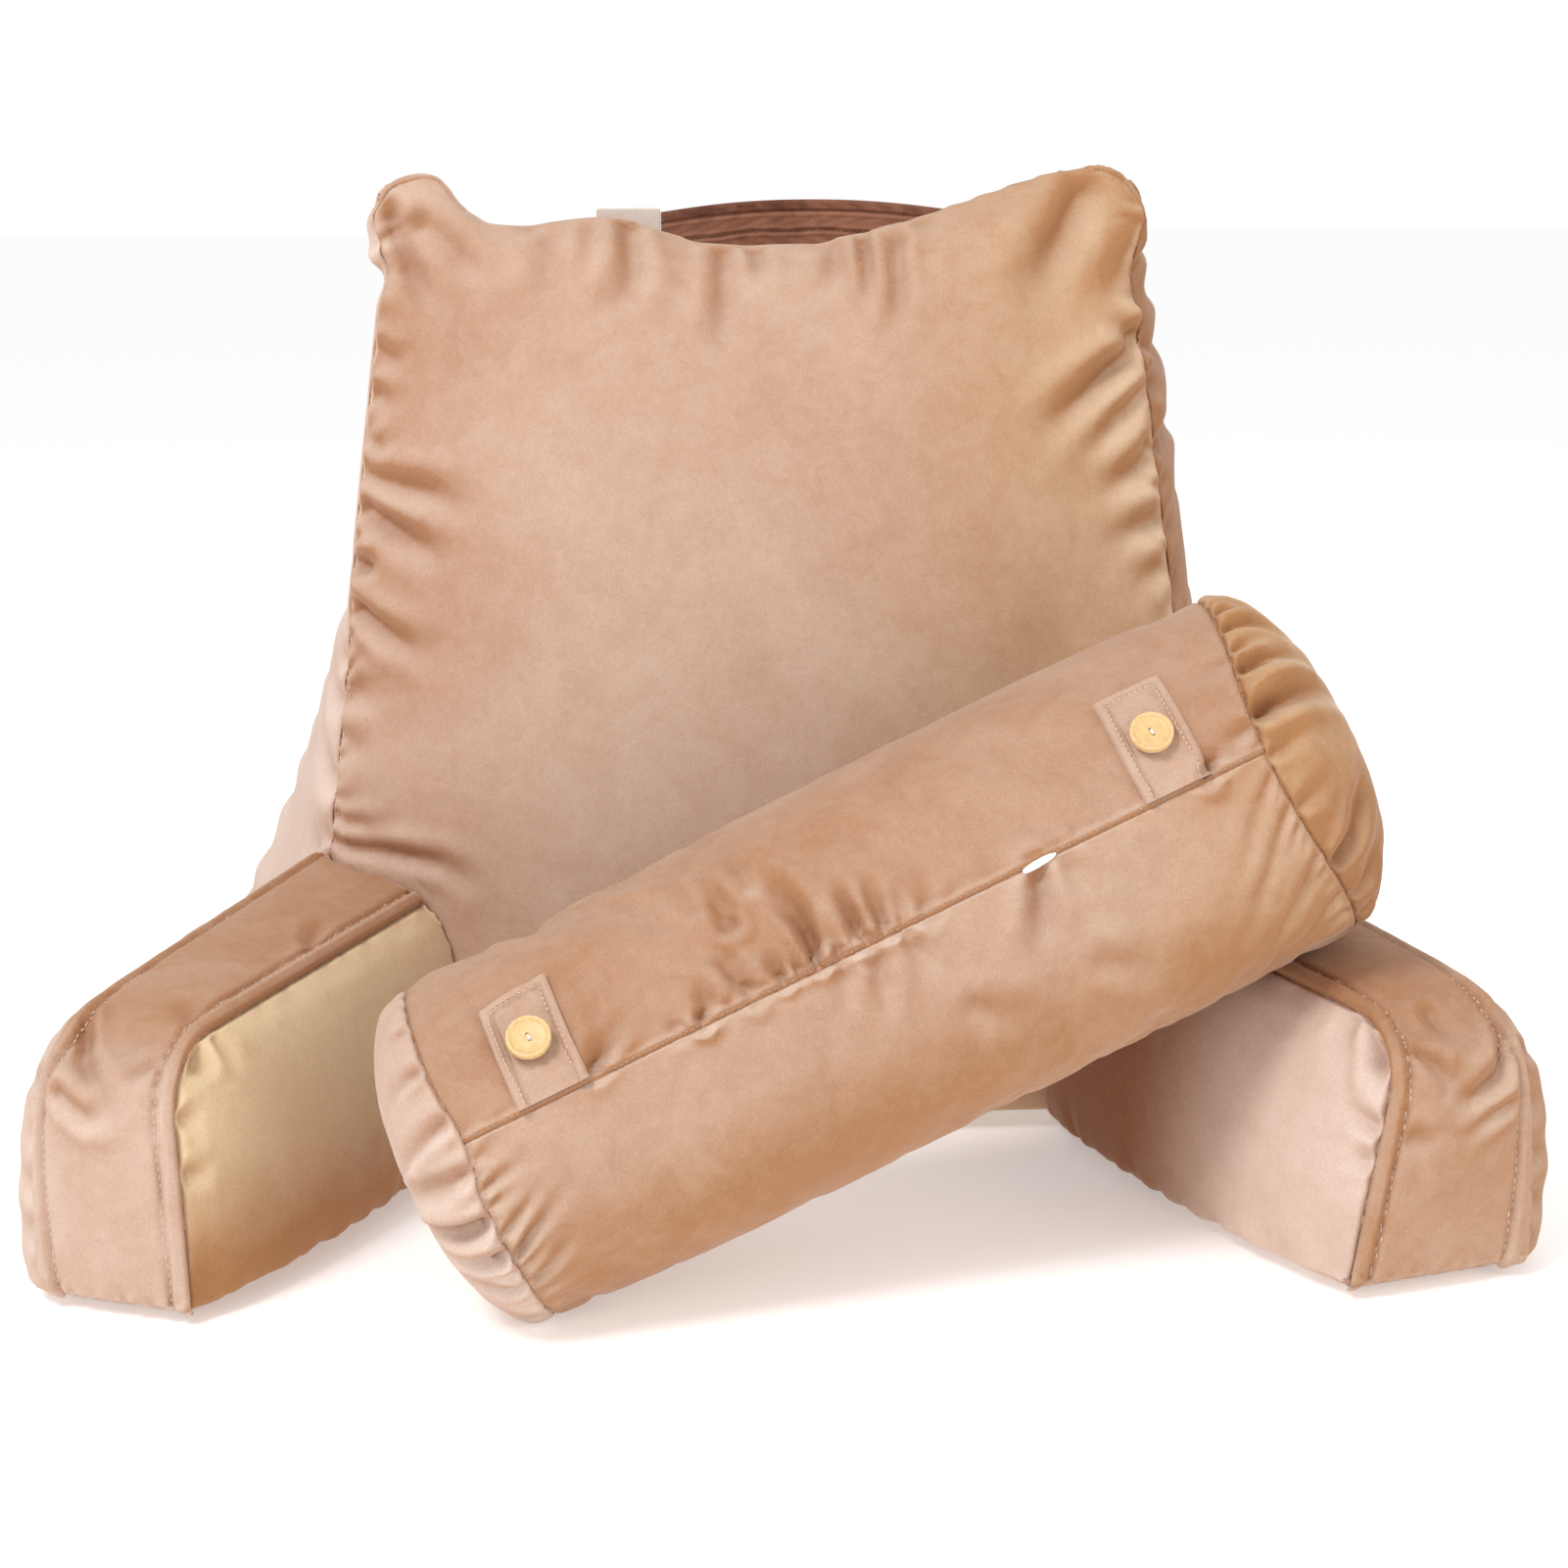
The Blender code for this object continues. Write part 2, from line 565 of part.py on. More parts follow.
def main():
    """Builds every piece; the arms are pressed back by the backrest, the right one by the roll too."""
    clear_scene()
    backrest = make_backrest()
    arm_left = make_arm("arm_left", -1.0)
    arm_right = make_arm("arm_right", 1.0)
    roll = make_roll()
    backrest_cutter = clearance_cutter("backrest_clearance", backrest)
    roll_cutter = clearance_cutter("neck_roll_clearance", roll)
    for arm in (arm_left, arm_right):
        press_against(arm, backrest_cutter)
    press_against(arm_right, roll_cutter)
    length = (ROLL_RIGHT - ROLL_LEFT).length
    for hand, distance in (("left", TAB_FROM_LEFT_SEAM), ("right", length - TAB_FROM_RIGHT_SEAM)):
        make_tab(f"button_tab_{hand}", distance)
        make_button(f"button_{hand}", distance)
    make_zip_pull()
    make_handle(backrest)


main()
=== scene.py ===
"""Looks of a back support pillow with its neck roll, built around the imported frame.

Metres, +Z up; the pillow faces -Y. Each filled cushion is a copy of its solid that is remeshed and
swollen by a short cloth simulation in which its seams are held. Seam grooves, gathers and folds are
then pressed into it. Stitches, tabs, buttons, the zip pull and the handle are other pieces.
"""

from __future__ import annotations

import logging
import math
from collections.abc import Callable, Iterator
from contextlib import contextmanager
from dataclasses import dataclass, field
from enum import Enum
from typing import ClassVar

import bmesh
import bpy
import numpy as np
from mathutils import Matrix, Vector
from mathutils.bvhtree import BVHTree

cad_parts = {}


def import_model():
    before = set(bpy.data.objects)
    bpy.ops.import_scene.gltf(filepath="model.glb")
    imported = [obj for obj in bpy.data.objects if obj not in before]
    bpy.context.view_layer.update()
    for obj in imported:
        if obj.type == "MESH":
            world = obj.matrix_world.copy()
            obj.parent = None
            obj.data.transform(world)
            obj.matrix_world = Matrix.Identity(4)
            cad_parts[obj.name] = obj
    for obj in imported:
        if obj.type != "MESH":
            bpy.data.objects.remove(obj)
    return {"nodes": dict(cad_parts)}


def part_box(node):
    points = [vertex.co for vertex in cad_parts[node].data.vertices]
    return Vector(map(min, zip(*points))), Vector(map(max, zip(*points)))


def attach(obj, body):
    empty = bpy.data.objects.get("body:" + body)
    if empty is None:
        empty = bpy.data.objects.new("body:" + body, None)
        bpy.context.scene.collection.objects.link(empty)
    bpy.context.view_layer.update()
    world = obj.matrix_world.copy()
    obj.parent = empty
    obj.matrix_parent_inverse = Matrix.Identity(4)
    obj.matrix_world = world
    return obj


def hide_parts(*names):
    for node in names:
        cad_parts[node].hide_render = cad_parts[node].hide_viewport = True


LOG = logging.getLogger("back_support_pillow")
BODY = "root"
MILLIMETRE = 0.001
FLOOR_HEIGHT = 0.0
Point = tuple[float, float, float]
Colour = tuple[float, float, float, float]
Array = np.ndarray
Value = float | Array
Obj = bpy.types.Object
Node = bpy.types.Node
Socket = bpy.types.NodeSocket
Tree = bpy.types.NodeTree


class Slot(Enum):
    """The record's material slots."""

    VELVET = "sand_velvet"
    DARK_VELVET = "brown_velvet"
    WOOD = "light_wood"
    PULL = "white_pull"


# Small helpers


def eased(low: float, high: float, value: Value) -> Value:
    """An eased step.

    Args:
        low: The value at which the step starts.
        high: The value at which it ends.
        value: A number or an array.

    Returns:
        0 below low, 1 above high, and a smooth rise between them.
    """
    share = np.clip((np.asarray(value, float) - low) / (high - low), 0.0, 1.0)
    return share * share * (3.0 - 2.0 * share)


def blended(low: Value, high: Value, share: Value) -> Value:
    """The value at a share of the way from low to high."""
    return low + (high - low) * share


def creased(off: Array, shoulder: float) -> Array:
    """The section of a crease.

    Args:
        off: The distance from its middle, in half-widths.
        shoulder: The height of the cloth pushed up beside it, as a share of its depth.

    Returns:
        1 at its middle, a little below 0 on its shoulders, and 0 far off.
    """
    return np.exp(-off * off) - shoulder * np.exp(-((off - 2.0) ** 2))


def make_active(obj: Obj) -> None:
    """Selects one object alone and makes it the active one.

    Args:
        obj: The object.
    """
    bpy.ops.object.select_all(action="DESELECT")
    obj.select_set(True)
    bpy.context.view_layer.objects.active = obj


def added(primitive: Callable[..., set[str]], **settings: object) -> Obj:
    """Adds a primitive with nothing else selected.

    Args:
        primitive: The operator that adds it.
        settings: The operator's settings.

    Returns:
        The new object.
    """
    bpy.ops.object.select_all(action="DESELECT")
    primitive(**settings)
    return bpy.context.active_object


def apply_modifiers(obj: Obj) -> None:
    """Applies every modifier of an object, in order.

    Args:
        obj: The mesh object.
    """
    make_active(obj)
    for name in [modifier.name for modifier in obj.modifiers]:
        bpy.ops.object.modifier_apply(modifier=name)


def subdivide(obj: Obj, levels: int = 1) -> None:
    """Applies a subdivision surface.

    Args:
        obj: The mesh object.
        levels: How many times each face is divided.
    """
    smoother = obj.modifiers.new("smoother", "SUBSURF")
    smoother.levels = smoother.render_levels = levels
    apply_modifiers(obj)


@contextmanager
def editing(obj: Obj, select: str = "SELECT") -> Iterator[None]:
    """Opens an object in edit mode and closes it again.

    Args:
        obj: The mesh object.
        select: "SELECT" to start with all of it selected, or "DESELECT" with nothing.

    Yields:
        Nothing.
    """
    make_active(obj)
    bpy.ops.object.mode_set(mode="EDIT")
    bpy.ops.mesh.select_all(action=select)
    yield
    bpy.ops.object.mode_set(mode="OBJECT")


def bevel(obj: Obj, width: float, segments: int, sharper_than: float = 30.0) -> None:
    """Rounds an object's edges.

    Args:
        obj: The mesh object.
        width: The bevel's width.
        segments: Its segments.
        sharper_than: Only edges that turn by more than this, in degrees, are rounded.
    """
    soft = obj.modifiers.new("rounded", "BEVEL")
    soft.width, soft.segments = width, segments
    soft.limit_method, soft.angle_limit = "ANGLE", math.radians(sharper_than)
    apply_modifiers(obj)


def face_outward(obj: Obj) -> None:
    """Turns all of an object's faces outward.

    Args:
        obj: The mesh object.
    """
    with editing(obj):
        bpy.ops.mesh.normals_make_consistent(inside=False)


def slice_across(obj: Obj, places: tuple[float, ...] | list[float]) -> None:
    """Adds rings of edges across an object's length.

    Args:
        obj: The mesh object, which runs along X.
        places: Each ring's x.
    """
    with editing(obj):
        for place in places:
            bpy.ops.mesh.select_all(action="SELECT")
            bpy.ops.mesh.bisect(plane_co=(place, 0, 0), plane_no=(1, 0, 0))


def double_grid(name: str, columns: int, rows: int) -> Obj:
    """A fine grid in two layers, joined round its edge, for a flat cloth piece.

    Args:
        name: The piece's name.
        columns: Its cells along X.
        rows: Its cells along Y.

    Returns:
        The grid, from -0.5 to 0.5 along X and Y, with its layers at 0 and -1.
    """
    grid = added(bpy.ops.mesh.primitive_grid_add, x_subdivisions=columns, y_subdivisions=rows, size=1.0)
    grid.name = grid.data.name = name
    with editing(grid):
        bpy.ops.mesh.extrude_region_move(TRANSFORM_OT_translate={"value": (0.0, 0.0, -1.0)})
    return grid


def placed(name: str, data: bpy.types.ID) -> Obj:
    """Puts new data into the scene.

    Args:
        name: The new object's name.
        data: Its mesh, curve, camera or light.

    Returns:
        The object, at the origin.
    """
    obj = bpy.data.objects.new(name, data)
    bpy.context.scene.collection.objects.link(obj)
    return obj


def settle_transform(obj: Obj) -> None:
    """Moves an object's place into its mesh."""
    make_active(obj)
    bpy.ops.object.transform_apply(location=True, rotation=True, scale=True)


def joined(name: str, parts: list[Obj]) -> Obj:
    """Joins several mesh objects into one.

    Args:
        name: The joined piece's name.
        parts: The objects, of which the first one stays.

    Returns:
        The joined object.
    """
    bpy.ops.object.select_all(action="DESELECT")
    for part in parts:
        part.select_set(True)
    bpy.context.view_layer.objects.active = parts[0]
    if len(parts) > 1:
        bpy.ops.object.join()
    parts[0].name = parts[0].data.name = name
    return parts[0]


def node_copy(name: str, node: Obj) -> Obj:
    """A free copy of a CAD node's mesh with its loose triangles merged.

    Args:
        name: The copy's name.
        node: The CAD node, which stays as it is.

    Returns:
        The new object, at the origin.
    """
    mesh = node.data.copy()
    mesh.name = name
    mesh.materials.clear()
    builder = bmesh.new()
    builder.from_mesh(mesh)
    bmesh.ops.remove_doubles(builder, verts=builder.verts[:], dist=1e-6)
    builder.to_mesh(mesh)
    builder.free()
    return placed(name, mesh)


def tree_of(obj: Obj) -> BVHTree:
    """A search tree of an object's faces, in the row frame.

    Args:
        obj: The mesh object.

    Returns:
        The tree.
    """
    points = [vertex.co.copy() for vertex in obj.data.vertices]
    faces = [tuple(polygon.vertices) for polygon in obj.data.polygons]
    return BVHTree.FromPolygons(points, faces)


def free_share(coords: Array, trees: list[BVHTree], near: float, far: float) -> Array:
    """How free each point is from the neighbours that it touches.

    Args:
        coords: The points.
        trees: The neighbours' faces.
        near: The distance at which a point counts as touching.
        far: The distance from which it is free.

    Returns:
        0 where a point touches, 1 where it is free.
    """
    free = np.ones(len(coords))
    for tree in trees:
        for index, point in enumerate(coords):
            gap = tree.find_nearest(Vector(point), far)[3]
            if gap is not None:
                free[index] = min(free[index], float(eased(near, far, gap)))
    return free


class SeamLine:
    """A sewn line as close points, with the distance along it at each one."""

    STEP = 0.002

    def __init__(self, points: list[Point] | Array) -> None:
        """Spaces the given points evenly.

        Args:
            points: The line's own points, in order.
        """
        line = np.array([tuple(point) for point in points], float)
        along = np.concatenate([[0.0], np.cumsum(np.linalg.norm(np.diff(line, axis=0), axis=1))])
        count = max(int(along[-1] / self.STEP), 2)
        self.along = np.linspace(0.0, along[-1], count + 1)
        self.points = np.stack([np.interp(self.along, along, line[:, k]) for k in range(3)], axis=1)

    def nearest(self, coords: Array, reach: float) -> tuple[Array, Array, Array]:
        """Measures points against the line.

        Args:
            coords: The points.
            reach: How far from the line a point still matters.

        Returns:
            The distance to the line (infinite past reach), the distance along it, and the
            nearest place on it.
        """
        away = np.full(len(coords), np.inf)
        along = np.zeros(len(coords))
        place = coords.copy()
        low, high = self.points.min(0) - reach, self.points.max(0) + reach
        close = np.flatnonzero(((coords > low) & (coords < high)).all(1))
        starts, runs = self.points[:-1], np.diff(self.points, axis=0)
        squares = (runs * runs).sum(1)
        for chunk in np.array_split(close, max(len(close) // 4000, 1)):
            points = coords[chunk]
            ahead = points @ runs.T - (starts * runs).sum(1)
            share = np.clip(ahead / squares, 0.0, 1.0)
            squared = (points * points).sum(1)[:, None] - 2.0 * points @ starts.T + (starts * starts).sum(1)
            squared += share * (share * squares - 2.0 * ahead)
            best = squared.argmin(1)
            rows = np.arange(len(chunk))
            found = np.sqrt(np.maximum(squared[rows, best], 0.0))
            away[chunk] = np.where(found <= reach, found, np.inf)
            along[chunk] = self.along[best] + share[rows, best] * np.sqrt(squares[best])
            place[chunk] = starts[best] + share[rows, best, None] * runs[best]
        return away, along, place


@dataclass(frozen=True)
class Fold:
    """A soft crease on a panel's own flat chart, deepest at its first point.

    Attributes:
        points: The chart points that it runs through, in metres.
        depth: How deep it is pressed in.
        half_width: Half its width.
        holds: The share of its length over which it keeps its depth.
        shoulder: The height of the cloth pushed up beside it, as a share of the depth.
    """

    points: tuple[tuple[float, float], ...]
    depth: float
    half_width: float
    holds: float = 0.25
    shoulder: float = 0.38

    def press(self, across: Array, up: Array) -> Array:
        """The offset along the surface's normals.

        Args:
            across: The points' first chart values.
            up: Their second ones.

        Returns:
            The offset of each point.
        """
        line = np.array(self.points)
        runs = np.diff(line, axis=0)
        lengths = np.linalg.norm(runs, axis=1)
        best = np.full(across.shape, np.inf)
        share = np.zeros(across.shape)
        start = 0.0
        for first, run, length in zip(line, runs, lengths):
            step = ((across - first[0]) * run[0] + (up - first[1]) * run[1]) / length**2
            step = np.clip(step, 0.0, 1.0)
            away = np.hypot(across - first[0] - step * run[0], up - first[1] - step * run[1])
            nearer = away < best
            best = np.where(nearer, away, best)
            share = np.where(nearer, (start + step * length) / lengths.sum(), share)
            start += length
        off = best / (self.half_width * (1.0 + 0.6 * share))
        fade = 1.0 - eased(self.holds, 1.0, share)
        return -self.depth * fade * creased(off, self.shoulder)


def folds(*rows: tuple[float, ...]) -> tuple[Fold, ...]:
    """Reads creases from rows of numbers, in millimetres.

    Args:
        rows: Each crease's depth, its half-width, the share over which it keeps its depth, and then
            the two chart values of each of its points.

    Returns:
        The creases.
    """
    made = []
    for depth, half_width, holds, *values in rows:
        line = [value * MILLIMETRE for value in values]
        points = tuple(zip(line[::2], line[1::2]))
        made.append(Fold(points, depth * MILLIMETRE, half_width * MILLIMETRE, holds))
    return tuple(made)


def pressed(creases: tuple[Fold, ...] | list[Fold], across: Array, up: Array) -> Array:
    """The offset of several creases together.

    Args:
        creases: The creases.
        across: The points' first chart values.
        up: Their second ones.

    Returns:
        The offset of each point along its normal.
    """
    offset = np.zeros(len(across))
    for crease in creases:
        offset += crease.press(across, up)
    return offset


@dataclass(frozen=True)
class Pleat:
    """A crease that runs away from a seam.

    Attributes:
        place: Where it starts, as a distance along the seam.
        depth: How deep it is.
        half_width: Half its width at the seam.
        reach: How far it runs.
        lean: How far it leans along the seam for each metre away from it.
        shoulder: The height of the cloth pushed up beside it, as a share of the depth.
    """

    place: float
    depth: float
    half_width: float
    reach: float
    lean: float = 0.0
    shoulder: float = 0.35

    def press(self, along: Array, away: Array, loop: float | None = None) -> Array:
        """The offset along the surface's normals.

        Args:
            along: The distance along the seam.
            away: The distance from the seam.
            loop: The seam's whole length, where it closes on itself.

        Returns:
            The offset of each point.
        """
        off = along - self.place - self.lean * away
        if loop is not None:
            off = (off + loop / 2.0) % loop - loop / 2.0
        off = np.abs(off) / (self.half_width * (1.0 + 0.8 * away / self.reach))
        return -self.depth * np.exp(-((away / self.reach) ** 2)) * creased(off, self.shoulder)


@dataclass(frozen=True)
class Gathers:
    """Small puckers that run away from a seam, unevenly spaced.

    Attributes:
        spacing: The mean distance between two puckers along the seam.
        depth: How deep the deepest one is.
        reach: How far they run from the seam.
        lean: How much they lean along the seam for each metre away from it.
        seed: The seed of their uneven places.
    """

    spacing: float
    depth: float
    reach: float
    lean: float = 0.0
    seed: int = 1

    def pleats(self, start: float, end: float) -> list[Pleat]:
        """The puckers between two distances along the seam.

        Args:
            start: The first distance.
            end: The second one.

        Returns:
            The puckers in order.
        """
        draw = np.random.default_rng(self.seed)
        made = []
        place = start - self.spacing
        while place < end + self.spacing:
            place += self.spacing * draw.uniform(0.55, 1.5)
            made.append(
                Pleat(
                    place,
                    self.depth * draw.uniform(0.3, 1.0),
                    self.spacing * draw.uniform(0.14, 0.26),
                    self.reach * draw.uniform(0.4, 1.1),
                    self.lean + draw.normal(0.0, 0.22),
                )
            )
        return made


class Skin:
    """The surface of a soft piece as arrays that are moved and then written back."""

    def __init__(self, obj: Obj) -> None:
        """Reads an object's points and normals.

        Args:
            obj: The mesh object.
        """
        self.obj = obj
        self.coords = np.empty(len(obj.data.vertices) * 3)
        obj.data.vertices.foreach_get("co", self.coords)
        self.coords = self.coords.reshape(-1, 3)
        self.normals = np.empty((0, 3))
        self.read_normals()
        # Painted shade that the velvet mixes in: in creases, seams and pleats, and in a few shaded places.
        self.crease = np.zeros(len(self.coords))

    def read_normals(self) -> None:
        """Writes the points back and reads the normals that they now have."""
        self.write()
        normals = np.empty(len(self.coords) * 3, np.float32)
        self.obj.data.vertex_normals.foreach_get("vector", normals)
        self.normals = normals.reshape(-1, 3).astype(float)

    def write(self) -> None:
        """Puts the points back into the mesh, with none below the floor."""
        self.coords[:, 2] = np.maximum(self.coords[:, 2], FLOOR_HEIGHT)
        self.obj.data.vertices.foreach_set("co", self.coords.astype(np.float32).ravel())
        self.obj.data.update()

    def push(self, offset: Array, darken: float = 0.0) -> None:
        """Moves the points along their normals.

        Args:
            offset: The distance for each point, outward where it is positive.
            darken: How much each metre of inward movement adds to the crease shade.
        """
        self.coords += self.normals * offset[:, None]
        # The hollow that the push makes gets painted shade.
        self.crease += np.maximum(-offset, 0.0) * darken

    def store(self, **fields: Array) -> None:
        """Writes named values on the mesh's points, for its material to read.

        Args:
            fields: The values by name.
        """
        for name, values in fields.items():
            attribute = self.obj.data.attributes.new(name, "FLOAT", "POINT")
            attribute.data.foreach_set("value", np.asarray(values, np.float32))


# Materials


def add_node(tree: Tree, kind: str, **values: object) -> Node:
    """Adds a shader node.

    Args:
        tree: The node tree.
        kind: The node's type name.
        values: Properties to set on it.

    Returns:
        The new node.
    """
    node = tree.nodes.new(kind)
    for name, value in values.items():
        setattr(node, name, value)
    return node


def set_inputs(node: Node, values: dict[str | int, object]) -> None:
    """Sets a node's inputs.

    Args:
        node: The node.
        values: Each input's plain value, or the socket that feeds it, by the input's name or number.
    """
    for label, value in values.items():
        if isinstance(value, Socket):
            node.id_data.links.new(value, node.inputs[label])
        else:
            node.inputs[label].default_value = value


def new_group(
    name: str, inputs: dict[str, tuple[str, object]], outputs: dict[str, str]
) -> tuple[Tree, Node, Node]:
    """Starts a shader node group with named sockets.

    Args:
        name: The group's name.
        inputs: Each input's socket type and default value.
        outputs: Each output's socket type.

    Returns:
        The group's tree, its input node and its output node.
    """
    tree = bpy.data.node_groups.new(name, "ShaderNodeTree")
    for label, (kind, value) in inputs.items():
        socket = tree.interface.new_socket(label, in_out="INPUT", socket_type=kind)
        if value is not None:
            socket.default_value = value
    for label, kind in outputs.items():
        tree.interface.new_socket(label, in_out="OUTPUT", socket_type=kind)
    return tree, tree.nodes.new("NodeGroupInput"), tree.nodes.new("NodeGroupOutput")


def noise(
    tree: Tree, vector: Socket, scale: float, detail: float, roughness: float = 0.5, distortion: float = 0.0
) -> Socket:
    """A noise texture's value output, 0 to 1.

    Args:
        tree: The node tree.
        vector: The socket that gives its coordinates.
        scale: Cells to a metre.
        detail: How many finer layers it has.
        roughness: How strong the finer layers are.
        distortion: How much it swirls.

    Returns:
        The output socket.
    """
    texture = add_node(tree, "ShaderNodeTexNoise", noise_dimensions="3D")
    grade = {"Scale": scale, "Detail": detail, "Roughness": roughness, "Distortion": distortion}
    set_inputs(texture, {"Vector": vector, **grade})
    return texture.outputs["Fac"]


def calculate(
    tree: Tree, operation: str, first: Socket | float, second: Socket | float = 0.0, clamp: bool = False
) -> Socket:
    """A math node.

    Args:
        tree: The node tree.
        operation: The node's operation.
        first: A socket or a number.
        second: A socket or a number.
        clamp: Whether the result stays between 0 and 1.

    Returns:
        The output socket.
    """
    node = add_node(tree, "ShaderNodeMath", operation=operation, use_clamp=clamp)
    set_inputs(node, {0: first, 1: second})
    return node.outputs[0]


def summed(tree: Tree, start: Socket, *terms: tuple[Socket, float]) -> Socket:
    """A sum of weighted values.

    Args:
        tree: The node tree.
        start: The first value.
        terms: Each other value and its weight.

    Returns:
        The output socket.
    """
    total = start
    for value, weight in terms:
        total = calculate(tree, "ADD", total, calculate(tree, "MULTIPLY", value, weight))
    return total


def ramped(tree: Tree, value: Socket, low: float, high: float, to_low: float, to_high: float) -> Socket:
    """Maps a value from one range to another, eased and clamped.

    Args:
        tree: The node tree.
        value: The socket that gives the value.
        low: The range's start.
        high: The range's end.
        to_low: What its start becomes.
        to_high: What its end becomes.

    Returns:
        The output socket.
    """
    node = add_node(tree, "ShaderNodeMapRange", interpolation_type="SMOOTHSTEP")
    limits = {"From Min": low, "From Max": high, "To Min": to_low, "To Max": to_high}
    set_inputs(node, {"Value": value, **limits})
    return node.outputs["Result"]


def mixed(
    tree: Tree, share: Socket | float, first: Socket | Colour, second: Socket | Colour, blend: str = "MIX"
) -> Socket:
    """A colour mix.

    Args:
        tree: The node tree.
        share: A socket or a number.
        first: The first colour, as a socket or a tuple.
        second: The second colour.
        blend: The blend type.

    Returns:
        The colour socket.
    """
    node = add_node(tree, "ShaderNodeMix", data_type="RGBA", blend_type=blend)
    set_inputs(node, {0: share, 6: first, 7: second})
    return node.outputs[2]


def velvet_group() -> Tree:
    """The shared velvet effect: brushed nap patches, streaks and pile, and the painted crease shade.

    Returns:
        The group, which puts out a colour, a height and a roughness.
    """
    found = bpy.data.node_groups.get("velvet_nap")
    if found:
        return found
    colour = "NodeSocketColor"
    number = "NodeSocketFloat"
    inputs = {
        "Vector": ("NodeSocketVector", None),
        "Tone": (number, 0.0),
        "Warmth": (number, 0.0),
        "Crease": (number, 0.0),
        "Pile": (colour, (0.6, 0.4, 0.3, 1.0)),
        "Deep": (colour, (0.4, 0.25, 0.15, 1.0)),
        "Rose": (colour, (0.6, 0.35, 0.25, 1.0)),
        "Straw": (colour, (0.6, 0.4, 0.2, 1.0)),
        "Patchiness": (number, 0.3),
        "Fineness": (number, 1.0),
    }
    outputs = {"Color": colour, "Height": number, "Roughness": number}
    tree, group_in, group_out = new_group("velvet_nap", inputs, outputs)
    vector = group_in.outputs["Vector"]
    patches = noise(tree, vector, 9.0, 3.0, 0.55, 0.6)
    brushed = noise(tree, vector, 42.0, 4.0, 0.62, 1.1)
    fine = add_node(tree, "ShaderNodeVectorMath", operation="SCALE")
    set_inputs(fine, {0: vector, "Scale": group_in.outputs["Fineness"]})
    pile = noise(tree, fine.outputs[0], 950.0, 2.0, 0.6)
    lint = noise(tree, fine.outputs[0], 260.0, 3.0, 0.7, 0.4)
    mottle = noise(tree, vector, 120.0, 3.0, 0.6, 0.8)
    sway = ramped(tree, patches, 0.34, 0.66, -0.5, 0.5)
    stroke = ramped(tree, brushed, 0.36, 0.66, -0.5, 0.5)
    blotch = ramped(tree, mottle, 0.36, 0.66, -0.5, 0.5)
    speck = calculate(tree, "SUBTRACT", lint, 0.5)
    uneven = summed(tree, sway, (stroke, 0.55), (blotch, 0.40), (speck, 0.55))
    uneven = calculate(tree, "MULTIPLY", uneven, group_in.outputs["Patchiness"])
    tone = calculate(tree, "ADD", group_in.outputs["Tone"], uneven, clamp=True)
    base = mixed(tree, tone, group_in.outputs["Pile"], group_in.outputs["Deep"])
    straw = calculate(tree, "MAXIMUM", group_in.outputs["Warmth"], 0.0)
    rose = calculate(tree, "MAXIMUM", calculate(tree, "MULTIPLY", group_in.outputs["Warmth"], -1.0), 0.0)
    base = mixed(tree, straw, base, group_in.outputs["Straw"], "MULTIPLY")
    base = mixed(tree, rose, base, group_in.outputs["Rose"], "MULTIPLY")
    grain = ramped(tree, pile, 0.3, 0.7, 0.93, 1.05)
    tint = add_node(tree, "ShaderNodeCombineColor")
    set_inputs(tint, {channel: grain for channel in range(3)})
    base = mixed(tree, 1.0, base, tint.outputs[0], "MULTIPLY")
    # Painted shade: the crease field mixes the deep colour in.
    shade = calculate(tree, "MULTIPLY", group_in.outputs["Crease"], 0.55, clamp=True)
    base = mixed(tree, shade, base, group_in.outputs["Deep"], "MULTIPLY")
    height = summed(tree, calculate(tree, "MULTIPLY", pile, 0.55), (lint, 0.8), (brushed, 1.6))
    gloss = ramped(tree, brushed, 0.3, 0.7, 0.90, 0.72)
    set_inputs(group_out, {"Color": base, "Height": height, "Roughness": gloss})
    return tree


def grain_group() -> Tree:
    """Straight wood grain with fine pores.

    Returns:
        The group, which puts out a colour and a height.
    """
    found = bpy.data.node_groups.get("straight_grain")
    if found:
        return found
    colour = "NodeSocketColor"
    number = "NodeSocketFloat"
    inputs = {
        "Vector": ("NodeSocketVector", None),
        "Light": (colour, (0.9, 0.7, 0.4, 1.0)),
        "Dark": (colour, (0.7, 0.5, 0.3, 1.0)),
    }
    tree, group_in, group_out = new_group("straight_grain", inputs, {"Color": colour, "Height": number})
    stretch = add_node(tree, "ShaderNodeMapping")
    set_inputs(stretch, {"Scale": (1.0, 0.14, 1.0), "Vector": group_in.outputs["Vector"]})
    bands = noise(tree, stretch.outputs[0], 520.0, 3.0, 0.6, 0.5)
    pores = noise(tree, stretch.outputs[0], 2600.0, 2.0, 0.5)
    streak = ramped(tree, bands, 0.35, 0.68, 0.0, 1.0)
    base = mixed(tree, streak, group_in.outputs["Light"], group_in.outputs["Dark"])
    dotted = ramped(tree, pores, 0.62, 0.72, 0.0, 0.12)
    base = mixed(tree, dotted, base, group_in.outputs["Dark"], "MULTIPLY")
    set_inputs(group_out, {"Color": base, "Height": calculate(tree, "ADD", bands, pores)})
    return tree


